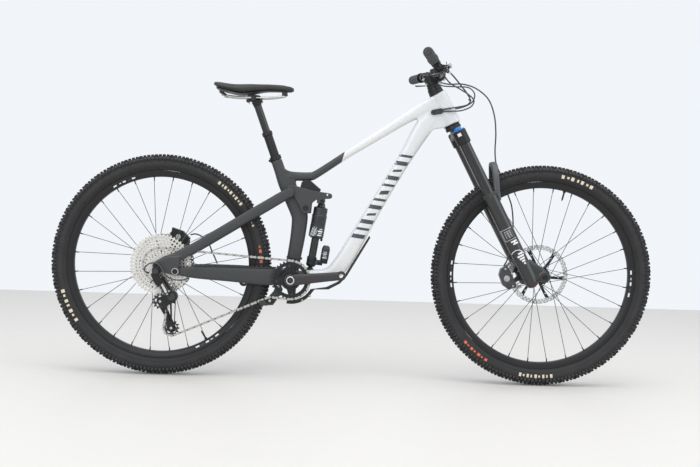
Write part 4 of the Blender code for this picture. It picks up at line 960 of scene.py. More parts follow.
def guide_pieces():
    x, z = GUIDE_ROLLER
    plate = prism([(BOTTOM_BRACKET[0] - 34, -50), (BOTTOM_BRACKET[0] - 25, -70), (x + 24, z + 4),
                   (x + 12, z - 13), (x - 30, z - 18), (x - 40, z - 4), (x - 6, z + 12)], -46, -42.5)
    lip = prism([(x - 34, z - 8), (x - 32, z - 18), (x + 12, z - 14), (x + 12, z - 8),
                 (x - 28, z - 12)], -58.5, -44)
    block = prism([(x - 34, z - 16), (x - 10, z - 17), (x - 6, z - 9), (x - 16, z + 2),
                   (x - 36, z - 2)], -60.0, -57.6)
    show("chain_guide_body", moulded(joined(plate, lip, block), 1.0, 2, 0.4), BLACK_PLASTIC, "frame",
         "chain_guide")
    roller = turned(at(x, -56, z), ACROSS, [(0, 0), (0, 7), (1, 7.4), (5, 7.4), (6, 4), (7, 7.4),
                                            (11, 7.4), (12, 7), (12, 0)], 32)
    show("chain_guide_roller", roller, BLACK_PLASTIC, "frame")
    show("chain_guide_bolts", joined(bolt((x, z), -59.6, RIGHT, 4, 2.4),
                                     bolt((400, -60), -46.2, RIGHT, 4, 2.4)), STEEL, "frame")
    window = prism([(x - 31, z - 13), (x - 14, z - 14), (x - 12, z - 8), (x - 19, z - 2),
                    (x - 32, z - 5)], -60.6, -59.8)
    show("chain_guide_window", window, CAN_GREY, "frame")


# ---------------------------------------------------------------- rear suspension
def chainstay():
    """Both chainstays and the yoke between them, moulded as one."""
    leg = smooth_loft([
        (64, -78.5, -18, 24, 6.6), (84, -78, -18.5, 29, 8), (112, -70, -19.5, 37, 12),
        (145, -60.5, -20.5, 43, 14), (240, -52.5, -23.5, 50, 14), (330, -44, -28, 56, 15),
        (372, -39.5, -29, 58, 16), (398, -33, -26, 50, 18), (412, -26, -13, 19, 14),
        (430, -22.3, -3, 18, 11)], 32, 3.0)
    side = joined(leg, cylinder(STAY_PIVOT, 13.5, -82, -75.2), cylinder(MAIN_PIVOT, 11.5, -28.4, -16.6))
    yoke = prism([(384, -2), (406, -2), (410, -14), (402, -46), (388, -54), (384, -48)], -36, 36)
    return moulded(joined(side, mirrored(side), yoke), 1.8, 3, 0.4)


def stay_mesh():
    leg = smooth_loft([
        (2, -82.2, 3, 30, 15.4), (30, -82, 17, 34, 15), (62, -80, 30, 34, 13), (96, -76, 50, 33, 12),
        (124, -72, 66, 32, 12), (245, -62, 142, 33, 14), (320, -51, 189, 34, 14),
        (365, -42, 217, 34, 12), (400, -36.6, 239, 34, 11), (430, -36.2, 256, 31, 11)], 32, 3.0)
    dropout = cylinder((0, 0), 16.0, -90, -74.4)
    tab = prism([(0, 14), (40, 30), (76, 34), *arc(STAY_PIVOT, 14, 30, -110, 12), (0, -15)], -90, -82.4)
    rear_end = cylinder(ROCKER_REAR, 16.0, -41.6, -30.6)
    side = joined(leg, dropout, tab, rear_end)
    bridge_bar = loft([(at(329.5, y, 196), 16, 9) for y in (-49, 0, 49)], 28, 3.0)
    brake_plate = prism([(14, 14), (78, 40), (84, 84), (62, 108), (30, 118), (12, 104)], 69.6, 76)
    return moulded(joined(side, mirrored(side), bridge_bar, brake_plate), 1.7, 3, 0.4)


def rear_triangle_pieces():
    show("chainstay_moulding", chainstay(), STAY_PAINT, "chainstay", "chainstay", sharp=60)
    show("seatstay_moulding", stay_mesh(), STAY_PAINT, "seatstay", "seatstay", sharp=60)
    strip = smooth_loft([
        (120, -66.5, -1.5, 3, 12.5), (150, -60, 1.5, 4, 12.5), (240, -52.5, 2.3, 4, 12.5),
        (330, -44, 0.8, 4, 12.5), (372, -39.5, 0.6, 4, 12.5), (384, -37, 0.2, 3, 12.5)], 20, 4.0)
    show("chainstay_strip", strip, SOFT_RUBBER, "chainstay")
    lumps = []
    for i in range(15):
        x = 140 + i * 15.5
        share = (x - 145) / 227
        lumps.append(loft([(at(x - 5, -60.5 + 21 * share, 5.2 - 1.6 * share), 3, 9),
                           (at(x, -60.5 + 21 * share + 0.5, 6.6 - 1.6 * share), 4.4, 11),
                           (at(x + 5, -60.5 + 21 * share + 1, 5.0 - 1.6 * share), 3, 9)], 14, 3.0))
    show("chainstay_ribs", joined(*lumps), SOFT_RUBBER, "chainstay")

    for side, word in SIDES:
        show("stay_pivot_bolt_" + word, bolt(STAY_PIVOT, side * 89.4, side, 8.6, 2.6), BLACK_METAL,
             "seatstay")
        ring = turned(across_at(STAY_PIVOT, side * 89.7), ACROSS * side,
                      [(0, 9), (0, 12), (0.9, 11.6), (0.9, 9)], 40)
        show("stay_pivot_ring_" + word, ring, DECAL_GREY, "seatstay")
    show("rear_axle_bolt", joined(cylinder((0, 0), 6.0, -90, 89.6),
                                  bolt((0, 0), -90, RIGHT, 9.6, 3.4, 0.5),
                                  bolt((0, 0), 89, LEFT, 8.0, 2.0, 0.5)), BLACK_METAL, "seatstay",
         "rear_axle")
    show("rear_calliper_block", moulded(rear_calliper(), 1.0, 2, 0.4), BLACK_METAL, "seatstay",
         "rear_calliper")
    show("rear_calliper_bolts", joined(*[bolt(c, 69.2, LEFT, 4.2, 8) for c in ((30, 108), (72, 74))],
                                       bolt((46, 92), 46.9, RIGHT, 9, 1.6, 0.3)), STEEL, "seatstay")


def link_pieces():
    x, z = ROCKER_REAR
    nose = arc(SHOCK_TOP, 10, 60, -60, 8)
    outline = [(x - 10, z + 22), (x + 8, z + 26), (504, 264), *arc((561, 247), 9.5, 75, -75, 8),
               (519, 235), (503, 222), (500, 187), (474, 187), (460, 214), (x + 14, z - 10),
               (x - 8, z + 2)]
    plate = prism(outline, -29.6, -20.6)
    eye = prism([(520, 250), *nose, (520, 222)], -29.6, -20.6)
    side = joined(plate, eye)
    body = moulded(joined(side, mirrored(side)), 1.2, 4, 0.35)
    hole = rod(at(554, -40, 251), at(554, 40, 251), 3.4, 20)
    body = cut(body, hole)
    show("rocker_link", body, STAY_PAINT, "rocker", "rocker", sharp=60)
    for side, word in SIDES:
        show("shock_upper_bolt_" + word, bolt(SHOCK_TOP, side * 29.4, side, 6.4, 2.0), BLACK_METAL,
             "rocker")
    web = prism([(460, 262), (466, 288), (475, 294), (493, 294), (530, 266), (528, 252), (500, 246)],
                -21.6, 21.6)
    fin = [(462, 270), (467, 292), (477, 299.5), (494, 299.5), (532, 268), (526, 256), (500, 256)]
    fins = [prism(fin, *sorted((side * 20.2, side * 22.4))) for side, _ in SIDES]
    show("rocker_web", moulded(joined(web, *fins), 1.0, 3, 0.4), BLACK_METAL, "rocker")


def shock_pieces():
    eye = cylinder(SHOCK_BOTTOM, 10.6, -7.6, 7.6)
    body = turned(shock_at(6), SHOCK_UP, [(0, 0), (0, 7), (7.5, 7), (9, 13), (14, 16.5), (22, 16.5),
                                          (23, 15.6), (25, 15.6), (26, 16.5), (41, 16.5), (43, 13.3),
                                          (43.5, 0)])
    link = loft([(shock_at(31, 6), 18, 18), (shock_at(33, 38), 18, 18)], 28, 3.0)
    cap = turned(shock_at(32, 41.5), SHOCK_UP, [(0, 0), (0, 11), (1.5, 13), (16, 13), (16, 0)])
    show("shock_damper_body", moulded(joined(eye, body, link, cap), 0.9, 2, 0.3), BLACK_METAL, "shock",
         "shock_damper")
    can = turned(shock_at(45, 41.5), SHOCK_UP, [(0, 0), (0, 13.6), (1, 14), (37, 14), (38, 13.2),
                                                (43, 12.4), (48, 9), (49, 4), (49, 0)])
    reservoir = show("shock_reservoir", can, FORK_BLACK, "shock", sharp=30)
    ring = turned(shock_at(80, 41.5), SHOCK_UP, [(0, 14), (0, 14.3), (2.2, 14.3), (2.2, 14)], 40)
    show("shock_reservoir_ring", ring, CAN_GREY, "shock")
    shaft = turned(shock_at(48), SHOCK_UP, [(0, 0), (0, 13.2), (91, 13.2), (91, 0)])
    show("shock_shaft", shaft, BLACK_GLOSS, "shock")
    show("shock_rebound_dial", turned(shock_at(31, 17, -10), ACROSS * -1,
                                      [(0, 0), (0, 6), (3, 6), (4, 5), (4, 0)], 20), CAN_GREY, "shock")
    x, z = SHOCK_BOTTOM
    cheek = [(x - 16, z - 15), (x - 14, z + 8), *arc((x, z), 13, 150, 30, 12), (x + 15, z + 2),
             (x + 13, z - 15)]
    show("shock_mount_cheeks",
         joined(*[prism(cheek, *sorted((side * 14.7, side * 15.8))) for side, _ in SIDES]),
         BLACK_METAL, "frame", edge=0.3)
    show("shock_lower_bolt", joined(bolt(SHOCK_BOTTOM, -14.6, RIGHT, 7, 2.6),
                                    bolt(SHOCK_BOTTOM, 14.6, LEFT, 7, 2.6)), BLACK_METAL, "frame")

    bore = 13.3 + GAP
    profile = [(0, bore), (0, 19), (2, 21), (5, 25.3), (6, 25.5)]
    for i in range(6):
        y = 44 + i * 5
        profile += [(y, 25.5), (y + 0.8, 24.7), (y + 2.0, 24.7), (y + 2.8, 25.5)]
    profile += [(78, 25.5), (80, 23.8), (92, 23.5), (92.5, 24.4), (95, 24.4), (95.5, 23.5),
                (104, 23.5), (107, 16), (108, 14), (120, 11), (120, 0), (92, 0), (92, bore)]
    can = turned(shock_at(112), SHOCK_UP, profile, 64)
    length = (across_at(SHOCK_TOP) - across_at(SHOCK_BOTTOM)).length / MM
    neck = loft([(shock_at(length - 16), 18, 18), (shock_at(length - 4), 18, 18)], 28, 3.0)
    air_can = show("shock_can_body", joined(can, neck), CAN_GREY, "shock_can", "shock_air_can",
                   sharp=32)
    show("shock_upper_eye", joined(cylinder(SHOCK_TOP, 10.0, -9, 9), cylinder(SHOCK_TOP, 5.0, -20, 20)),
         BLACK_METAL, "shock_can", edge=0.5)
    show("shock_valve", joined(rod(shock_at(105, 20.6), shock_at(118, 20.6), 3.2),
                               rod(shock_at(107, 20.6), shock_at(113, 20.6), 3.9)), BLACK_METAL,
         "shock_can")

    def on_shock(up, ahead):
        return in_plane(shock_at(up, ahead))

    streaks = []
    for low, high, ahead in ((118, 147, -21), (119, 150, -17), (118, 145, -13), (119, 149, -9),
                             (122, 140, -5)):
        streaks.append([on_shock(low, ahead), on_shock(low, ahead + 1.6), on_shock(high, ahead + 8),
                        on_shock(high, ahead + 6.4)])
    for up, ahead, wide, tall in ((122, 3, 15, 4), (129, 6, 12, 3), (135, 4, 15, 5), (143, 8, 10, 3)):
        streaks.append([on_shock(up, ahead), on_shock(up, ahead + wide),
                        on_shock(up + tall, ahead + wide), on_shock(up + tall, ahead + 2)])
    marks = []
    for up, ahead, wide, tall in ((50, 33, 16, 4), (57, 35, 12, 3), (63, 33, 15, 4), (70, 34, 13, 3)):
        marks.append([on_shock(up, ahead), on_shock(up + 1, ahead + wide),
                      on_shock(up + tall, ahead + wide), on_shock(up + tall - 1, ahead + 2)])
    for side, word in SIDES:
        printed("shock_can_streaks_" + word, streaks, side, air_can, CHALK_WHITE, "shock_can", 2.0)
        printed("shock_reservoir_marks_" + word, marks, side, reservoir, CHALK_WHITE, "shock", 2.0)


# ---------------------------------------------------------------- wheels
CASING_HALF_WIDTH = 29.6
CASING_MIDDLE = 341.0
CASING_HALF_HEIGHT = 25.2
TREAD_PITCHES = 88


def wheel_point(hub, angle, radius, left):
    """A world point on a wheel."""
    return at(hub[0] + math.cos(angle) * radius, left, hub[1] + math.sin(angle) * radius)


def casing_left(radius):
    """Half the tyre's width at a radius on its sidewall."""
    share = (radius - CASING_MIDDLE) / CASING_HALF_HEIGHT
    return CASING_HALF_WIDTH * math.sqrt(max(0.0, 1 - share * share))


def knob(mesh, hub, angle, left, radius, tilt, half_length, half_width, height, skew=0.0):
    """One tread block, standing on the casing and leaning out by the tilt."""
    out = outward(angle)
    along = Vector((-math.sin(angle), 0, math.cos(angle)))
    side = math.copysign(1, left)
    normal = out * math.cos(tilt) + ACROSS * side * math.sin(tilt)
    across = ACROSS * side * math.cos(tilt) - out * math.sin(tilt)
    foot = wheel_point(hub, angle, radius, left)
    rings = []
    for rise, size in ((-1.5, 1.08), (height - 0.7, 0.92), (height, 0.78)):
        ring = []
        for a, b in ((-1, -1), (1, -1), (1, 1), (-1, 1)):
            shift = along * (a * half_length * size + skew * b) + across * b * half_width * size
            ring.append(mesh.verts.new(foot + (normal * rise + shift) * MM))
        rings.append(ring)
    bridge_all(mesh, rings)
    mesh.faces.new(rings[-1])


def tyre(hub):
    """The casing, its bead lines and its tread."""
    profile = []
    for k in range(25):
        a = math.radians(-122 + 244 * k / 24)
        profile.append((CASING_HALF_WIDTH * math.sin(a), CASING_MIDDLE + CASING_HALF_HEIGHT * math.cos(
            a)))
    profile = [(-13, RIM_RADIUS + 0.5), (-19, RIM_RADIUS + 3)] + profile
    profile += [(19, RIM_RADIUS + 3), (13, RIM_RADIUS + 0.5), (22, 345), (0, 360), (-22, 345)]
    casing = turned(across_at(hub), ACROSS, profile, 144)
    beads = [turned(across_at(hub), ACROSS, [(side * 25.2, 327), (side * 26.6, 327.6),
                                             (side * 27.0, 329), (side * 25.8, 329.4)], 144)
             for side, _ in SIDES]
    tread = bmesh.new()
    for i in range(TREAD_PITCHES):
        start = 2 * math.pi * i / TREAD_PITCHES
        step = 2 * math.pi / TREAD_PITCHES
        for side, _ in SIDES:
            wide = 6.2 if i % 2 else 5.2
            knob(tread, hub, start, side * 6.8, 365.0, 0.10, 4.2, wide, 6.6, 0.5 * side)
            knob(tread, hub, start + step * 0.5, side * 5.6, 365.2, 0.08, 3.6, 4.6, 6.5)
            if i % 2:
                knob(tread, hub, start + step * 0.26, side * 17.2, 361.6, 0.42, 3.6, 3.6, 6.2, 0.8)
            else:
                knob(tread, hub, start + step * 0.78, side * 16.4, 362.0, 0.40, 3.2, 3.4, 6.0)
            knob(tread, hub, start + step * 0.25, side * 24.6, 354.6, 0.72, 4.7, 5.6, 7.4)
            knob(tread, hub, start + step * 0.75, side * 25.2, 353.6, 0.78, 4.0, 5.0, 7.0)
            knob(tread, hub, start + step * 0.5, side * 28.4, 347.4, 1.25, 2.2, 2.2, 1.9)
    for face in tread.faces:
        face.normal_update()
    return joined(casing, *beads, tread)


def side_marks(hub, side, spans):
    """Flat marks on a tyre's sidewall, from (start, end, low, high) in degrees and mm."""
    mesh = bmesh.new()
    for start, end, low, high in spans:
        steps = max(2, int((end - start) / 0.8))
        rings = []
        for i in range(steps + 1):
            angle = math.radians(start + (end - start) * i / steps)
            ring = []
            for k in range(4):
                radius = low + (high - low) * k / 3
                ring.append(mesh.verts.new(
                    wheel_point(hub, angle, radius, side * (casing_left(radius) + SIDEWALL_LIFT))))
            rings.append(ring)
        for one, two in zip(rings, rings[1:]):
            for k in range(3):
                mesh.faces.new((one[k], one[k + 1], two[k + 1], two[k]))
    return mesh


def dashes(start, end, low, high, count, share=0.62):
    """A run of blocks of uneven length round an arc, with a few of them shorter than the rest."""
    step = (end - start) / count
    spans = []
    for i in range(count):
        length = step * share * (1.0, 0.7, 0.9, 0.6)[i % 4]
        drop = (0, 2.4, 0, 1.2)[i % 4]
        spans.append((start + i * step, start + i * step + length, low + drop, high - drop))
    return spans


def rim(hub):
    half = 15.0
    return turned(across_at(hub), ACROSS, [
        (-half, RIM_RADIUS), (-half, RIM_RADIUS - 3), (-13.6, 308), (-11.4, 299.6), (-9, 296.4),
        (-5, RIM_INNER_RADIUS), (5, RIM_INNER_RADIUS), (9, 296.4), (11.4, 299.6), (13.6, 308),
        (half, RIM_RADIUS - 3), (half, RIM_RADIUS), (11, 305), (-11, 305)], 144)


def rim_left(radius):
    """Half the rim's width at a radius on its slanted side."""
    return 11.4 + (radius - 299.6) * (13.6 - 11.4) / (308 - 299.6)


def rim_marks(hub, side, spans):
    """Flat marks on a rim's side, from (start, end, low, high) in degrees and mm."""
    mesh = bmesh.new()
    for start, end, low, high in spans:
        steps = max(2, int((end - start) / 1.2))
        last = None
        for i in range(steps + 1):
            angle = math.radians(start + (end - start) * i / steps)
            pair = [mesh.verts.new(
                wheel_point(hub, angle, radius, side * (rim_left(radius) + RIM_LIFT))) for radius in (
                low, high)]
            if last:
                mesh.faces.new((last[0], last[1], pair[1], pair[0]))
            last = pair
    return mesh


def spoke_set(hub, right_flange, left_flange):
    """Twenty-eight crossed spokes, with heads in the flanges."""
    centre = across_at(hub)
    parts = []
    for flange, phase in ((right_flange, 0.25), (left_flange, 0.75)):
        for i in range(SPOKES_PER_SIDE):
            angle = 2 * math.pi * (i + phase) / SPOKES_PER_SIDE
            turn = 1 if i % 2 else -1
            lean = angle + turn * math.radians(66)
            offset = math.copysign(1.9, flange) * turn
            inner = centre + Vector((math.cos(lean) * 25.0, flange + offset,
                                     math.sin(lean) * 25.0)) * MM
            outer = centre + Vector((math.cos(angle) * 296, math.copysign(2.0, flange),
                                     math.sin(angle) * 296)) * MM
            parts.append(rod(inner, outer, 1.05, 6))
            head = ACROSS * math.copysign(1, offset)
            parts.append(rod(inner - head * 4.4 * MM, inner + head * 1.3 * MM, 1.5, 8))
    return joined(*parts)


def nipple_set(hub):
    centre = across_at(hub)
    parts = []
    for i in range(2 * SPOKES_PER_SIDE):
        angle = 2 * math.pi * (i + 0.5) / (2 * SPOKES_PER_SIDE)
        out = outward(angle)
        side = -1 if i % 2 == 0 else 1
        foot = centre + out * 283 * MM + ACROSS * side * 2.9 * MM
        parts.append(turned(foot, out, [(0, 0), (0, 1.7), (9, 2.1), (13, 2.1), (13, 0)], 10))
    return joined(*parts)


def pierced_band(hub, inner, outer, low, high, cells, rows, hole, phase=0.0):
    """A flat ring with round holes in rows.  The hole is a share of its cell's smaller side."""
    mesh = bmesh.new()
    tall = (outer - inner) / rows
    for row in range(rows):
        middle = inner + tall * (row + 0.5)
        wide = 2 * math.pi * middle / cells
        radius = hole * min(tall, wide) / 2
        for cell in range(cells):
            centre = 2 * math.pi * (cell + phase + 0.5 * (row % 2)) / cells
            rim_points, hole_points = [], []
            for a, b in ((1, 0), (1, 1), (0, 1), (-1, 1), (-1, 0), (-1, -1), (0, -1), (1, -1)):
                rim_points.append((centre + a * math.pi / cells, middle + b * tall / 2))
                long = math.hypot(a, b)
                hole_points.append((centre + a / long * radius / middle, middle + b / long * radius))
            faces = []
            for left in (low, high):
                outside = [mesh.verts.new(wheel_point(hub, a, r, left)) for a, r in rim_points]
                inside = [mesh.verts.new(wheel_point(hub, a, r, left)) for a, r in hole_points]
                bridge(mesh, outside, inside)
                faces.append((outside, inside))
            bridge(mesh, faces[0][1], faces[1][1])
            if row == rows - 1:
                for k in (1, 2):
                    mesh.faces.new((faces[0][0][k], faces[0][0][k + 1], faces[1][0][k + 1],
                                    faces[1][0][k]))
            if row == 0:
                for k in (5, 6):
                    mesh.faces.new((faces[0][0][k], faces[0][0][(k + 1) % 8], faces[1][0][(k + 1) % 8],
                                    faces[1][0][k]))
    return finish_mesh(mesh)


def plain_band(hub, inner, outer, low, high):
    return turned(across_at(hub), ACROSS, [(low, inner), (low, outer), (high, outer), (high, inner)])


def rotor_pieces(hub, start, end, body, word):
    band = pierced_band(hub, 85.5, 99.5, start, end, 48, 2, 0.62)
    scallops = []
    for i in range(30):
        angle = 2 * math.pi * i / 30
        scallops.append(prism([(hub[0] + math.cos(angle + d) * r, hub[1] + math.sin(angle + d) * r)
                               for d, r in ((-0.085, 99.3), (-0.06, 101.5), (0.06, 101.5),
                                            (0.085, 99.3))], start, end))
    show(word + "_rotor_track", joined(band, *scallops), STEEL, body, word + "_rotor")
    arms, rivets = [], []
    for i in range(6):
        base = math.radians(110 + 60 * i)
        points = [(r, base + turn, half / r) for r, turn, half in (
            (22, -0.12, 8.0), (38, -0.06, 5.2), (60, 0.0, 4.4), (74, 0.04, 5.4), (88, 0.07, 6.0))]
        outline = [(hub[0] + r * math.cos(a + h), hub[1] + r * math.sin(a + h)) for r, a, h in points]
        outline += [(hub[0] + r * math.cos(a - h), hub[1] + r * math.sin(a - h)) for r, a,
                    h in reversed(points)]
        arms.append(prism(outline, start - 0.8, end + 0.8))
        for radius in (70, 87):
            place = (hub[0] + radius * math.cos(base + 0.05), hub[1] + radius * math.sin(base + 0.05))
            rivets.append(cylinder(place, 2.8, start - 0.95, end + 0.95, 16))
    arms.append(plain_band(hub, 17.8, 28, start - 0.8, end + 0.8))
    show(word + "_rotor_spider", joined(*arms), BLACK_METAL, body, edge=0.3)
    show(word + "_rotor_rivets", joined(*rivets), POLISHED, body)
    lock = turned(across_at(hub, end + 0.6), ACROSS, [(0, 13), (0, 20), (2, 20), (2.6, 19), (2.6, 13)],
                  32)
    show(word + "_rotor_lockring", lock, CAN_GREY, body, edge=0.3)


def wheel_pieces(hub, word, flanges, rotor_left, valve_angle, cream, orange, rim_spans):
    """A whole wheel but for its hub.  The spans are dashes, in degrees and mm."""
    body = word + "_wheel"
    show(word + "_tyre_tread", tyre(hub), TYRE, body, word + "_tyre", sharp=35)
    for side, name in SIDES:
        show("%s_sidewall_cream_%s" % (word, name), side_marks(hub, side, cream), CREAM, body)
        show("%s_sidewall_orange_%s" % (word, name), side_marks(hub, side, orange), ORANGE, body)
        show("%s_rim_marks_%s" % (word, name), rim_marks(hub, side, rim_spans), CHALK_WHITE, body)
    show(word + "_rim_hoop", rim(hub), BLACK_METAL, body, word + "_rim", sharp=25)
    show(word + "_spoke_set", spoke_set(hub, *flanges), SPOKE_STEEL, body, word + "_spokes")
    show(word + "_spoke_nipples", nipple_set(hub), BLACK_METAL, body)
    out = outward(math.radians(valve_angle))
    foot = across_at(hub)
    valve = joined(turned(foot + out * 262 * MM, out, [(0, 0), (0, 1.4), (4, 2.2), (6, 3), (20, 3),
                                                       (20, 0)], 12),
                   turned(foot + out * 280 * MM, out, [(0, 0), (0, 3), (10, 3), (11, 5), (15, 5),
                                                       (15, 0)], 16))
    show(word + "_tyre_valve", valve, BLACK_METAL, body)
    rotor_pieces(hub, *rotor_left, body, word)


def hub_pieces():
    hub = (WHEELBASE, 0)
    shell = turned(at(WHEELBASE, -54.7, 0), ACROSS, [(0, 7.8), (0, 10.4), (0.6, 11), (15, 11.4),
                                                     (18, 14), (22, 18), (23, 26.6), (24, 27.6),
                                                     (26.4, 27.6), (27, 26.6), (29, 17), (36, 13.6),
                                                     (52, 12.8), (68, 13.6), (76, 17), (78.2, 26.6),
                                                     (79, 27.6), (81.4, 27.6), (82.2, 26.6), (83, 18),
                                                     (84, 17), (99, 17), (99, 11.6), (109, 11),
                                                     (109.4, 7.8)], 64)
    show("front_hub_shell", shell, BLACK_METAL, "front_wheel", "front_hub", sharp=30)
    shell = turned(at(0, -22, 0), ACROSS, [(0, 6.8), (0, 26), (1, 27.4), (4, 27.4), (5, 26.4),
                                           (5.6, 19), (10, 16.6), (30, 15.6), (46, 16.4), (52, 19),
                                           (53, 26.6), (54, 27.6), (56.4, 27.6), (57, 26.6),
                                           (57.4, 18), (83, 17), (83, 11), (95.7, 11), (95.7, 6.8)], 64)
    show("rear_hub_shell", shell, BLACK_METAL, "rear_wheel", "rear_hub", sharp=30)
    show("front_axle_bolt", joined(cylinder(hub, 7.5, -88.2, 88.2),
                                   bolt(hub, -88, RIGHT, 9.2, 2.6, 0.5)), BLACK_METAL, "fork_lowers",
         "front_axle")


# ---------------------------------------------------------------- drivetrain
def tooth_ring(centre, teeth, left, thick):
    """The teeth of a chain wheel, standing on its smooth rim."""
    root = pitch_radius(teeth) - TOOTH_DEPTH
    step = 2 * math.pi / teeth
    flank = [(0.36, root - 0.6), (0.30, root + 1.2), (0.17, root + TOOTH_DEPTH * 0.95),
             (0.07, root + TOOTH_DEPTH * 1.32)]
    rows = [(-d, r) for d, r in flank] + flank[::-1]
    parts = []
    for i in range(teeth):
        angle = i * step
        outline = [(centre[0] + math.cos(angle + d * step) * r,
                    centre[1] + math.sin(angle + d * step) * r) for d, r in rows]
        parts.append(prism(outline, left - thick / 2, left + thick / 2))
    return joined(*parts)


def cassette_pieces():
    cogs, teeth_parts = [], []
    for i, teeth in enumerate(COGS):
        left = SMALLEST_COG_Y + COG_PITCH * i
        root = pitch_radius(teeth) - TOOTH_DEPTH
        inner = pitch_radius(COGS[i - 1]) - TOOTH_DEPTH - 2.5 if i else 12.2
        if teeth >= 21:
            cogs.append(pierced_band((0, 0), inner, root, left - 0.95, left + 0.95, teeth, 1, 0.62,
                                     0.5))
        else:
            cogs.append(plain_band((0, 0), min(inner, root - 1), root, left - 0.95, left + 0.95))
        teeth_parts.append(tooth_ring((0, 0), teeth, left, 1.7))
    show("cassette_cogs", joined(*cogs), COG_STEEL, "cassette", "cassette", sharp=25)
    show("cassette_teeth", joined(*teeth_parts), COG_STEEL, "cassette", sharp=25)
    core = []
    for i, teeth in enumerate(COGS[:-1]):
        left = SMALLEST_COG_Y + COG_PITCH * i
        radius = max(12.0, pitch_radius(teeth) - TOOTH_DEPTH - 3.4)
        core.append(plain_band((0, 0), radius - 2, radius, left + 0.8, left + COG_PITCH - 0.8))
    show("cassette_spacers", joined(*core), BLACK_METAL, "cassette", sharp=25)
    lock = turned(at(0, -73.6, 0), ACROSS, [(0, 7), (0, 11), (1, 12.4), (4.6, 12.8), (4.6, 7)], 40)
    splines = [rod(wheel_point((0, 0), 2 * math.pi * k / 12, 9.6, -74.0),
                   wheel_point((0, 0), 2 * math.pi * k / 12, 9.6, -71), 1.0, 8) for k in range(12)]
    show("cassette_lockring", joined(lock, *splines), CAN_GREY, "cassette")
    body = turned(at(0, -68, 0), ACROSS, [(0, 7), (0, 11.8), (8, 12), (44, 16.4), (45, 16.4), (45, 7)],
                  48)
    show("freehub_body", body, BLACK_METAL, "cassette")


def crank(side):
    """A crank arm, with its pedal hole left open."""
    turn = -side
    x, z = BOTTOM_BRACKET
    tip_x = x + turn * CRANK_LENGTH * math.cos(CRANK_ANGLE)
    tip_z = z + turn * CRANK_LENGTH * math.sin(CRANK_ANGLE)
    rows = []
    for share, y, depth, width in ((-0.02, 65, 37, 14), (0.15, 66, 37, 14), (0.5, 70.5, 32, 13),
                                   (0.85, 76, 29, 13), (0.97, 77.2, 29, 12.6)):
        rows.append((x + (tip_x - x) * share, side * y, z + (tip_z - z) * share, depth, width))
    blade = smooth_loft(rows, 28, 3.6)
    boss = cylinder(BOTTOM_BRACKET, 20.5, *sorted((side * 57.2, side * 73.6)))
    eye = cylinder((tip_x, tip_z), 16.0, *sorted((side * 71, side * 83.6)))
    arm = moulded(joined(blade, boss, eye), 1.3, 4, 0.4)
    arm = cut(arm, cylinder((tip_x, tip_z), PEDAL_HOLE_RADIUS, *sorted((side * 60, side * 95))))
    insert = turned(at(tip_x, side * 71.5, tip_z), ACROSS * side,
                    [(0, 7.1), (0, 9.0), (12.3, 9.0), (12.8, 8.6), (12.8, 7.1)], 32)
    return arm, insert


def crank_pieces():
    for side, word in SIDES:
        arm, insert = crank(side)
        show("crank_arm_%s_forging" % word, arm, CRANK_GREY, "cranks", "crank_arm_" + word, sharp=50)
        show("pedal_insert_" + word, insert, CAN_GREY, "cranks")
        place = across_at(BOTTOM_BRACKET, side * 73.2)
        ring = turned(place, ACROSS * side, [(0, 9.4), (0, 13.6), (1.4, 13.6), (2.2, 12.8),
                                             (2.2, 10.0), (1.2, 9.4)], 48)
        show("crank_cap_ring_" + word, ring, POLISHED, "cranks", sharp=30)
        core = turned(place, ACROSS * side, [(0, 0), (0, 9.4), (0.8, 9.2), (0.8, 5.2), (-2, 4.8),
                                             (-2, 0)], 48)
        show("crank_cap_core_" + word, core, BLACK_METAL, "cranks", sharp=30)
    show("crank_spindle", cylinder(BOTTOM_BRACKET, SPINDLE_RADIUS, -58, 58), STEEL, "cranks")
    rim_radius = pitch_radius(CHAINRING_TEETH) - TOOTH_DEPTH
    ring = turned(across_at(BOTTOM_BRACKET, CHAINRING_Y), ACROSS, [
        (-4.8, SPINDLE_RADIUS + GAP), (-4.8, 23), (-1.5, 25), (-1.5, rim_radius), (1.5, rim_radius),
        (1.5, 24), (5.5, 22), (5.5, SPINDLE_RADIUS + GAP)], 64)
    windows = []
    for i in range(4):
        middle = 52 + 90 * i
        outline = arc(BOTTOM_BRACKET, 34, middle - 18, middle + 18, 4)
        outline += arc(BOTTOM_BRACKET, 48.5, middle + 30, middle - 30, 8)
        windows.append(prism(outline, CHAINRING_Y - 4, CHAINRING_Y + 4))
    show("chainring_plate", cut(ring, *windows), BLACK_METAL, "cranks", "chainring", sharp=30)
    show("chainring_teeth", tooth_ring(BOTTOM_BRACKET, CHAINRING_TEETH, CHAINRING_Y, 2.6), CAN_GREY,
         "cranks", sharp=25)
    ribs = []
    for i in range(4):
        angle = math.radians(SPIDER_ANGLE + 90 * i)
        rows = ((18, 8.5), (34, 6.0), (50, 6.4), (54, 7.4))
        outline = [(BOTTOM_BRACKET[0] + r * math.cos(angle) - w * math.sin(angle),
                    BOTTOM_BRACKET[1] + r * math.sin(angle) + w * math.cos(angle)) for r, w in rows]
        outline += [(BOTTOM_BRACKET[0] + r * math.cos(angle) + w * math.sin(angle), BOTTOM_BRACKET[1]
                     + r * math.sin(angle) - w * math.cos(angle)) for r, w in reversed(rows)]
        ribs.append(prism(outline, CHAINRING_Y - 4.2, CHAINRING_Y - 1.2))
    show("chainring_spider", moulded(joined(*ribs), 1.0, 2, 0.4), BLACK_METAL, "cranks")
    bolts = []
    for i in range(4):
        angle = math.radians(SPIDER_ANGLE + 90 * i)
        bolts.append(bolt((BOTTOM_BRACKET[0] + 47 * math.cos(angle), BOTTOM_BRACKET[1] + 47 * math.sin(
            angle)), CHAINRING_Y - 4.2, RIGHT, 4.2, 1.4))
    show("chainring_bolts", joined(*bolts), CAN_GREY, "cranks")


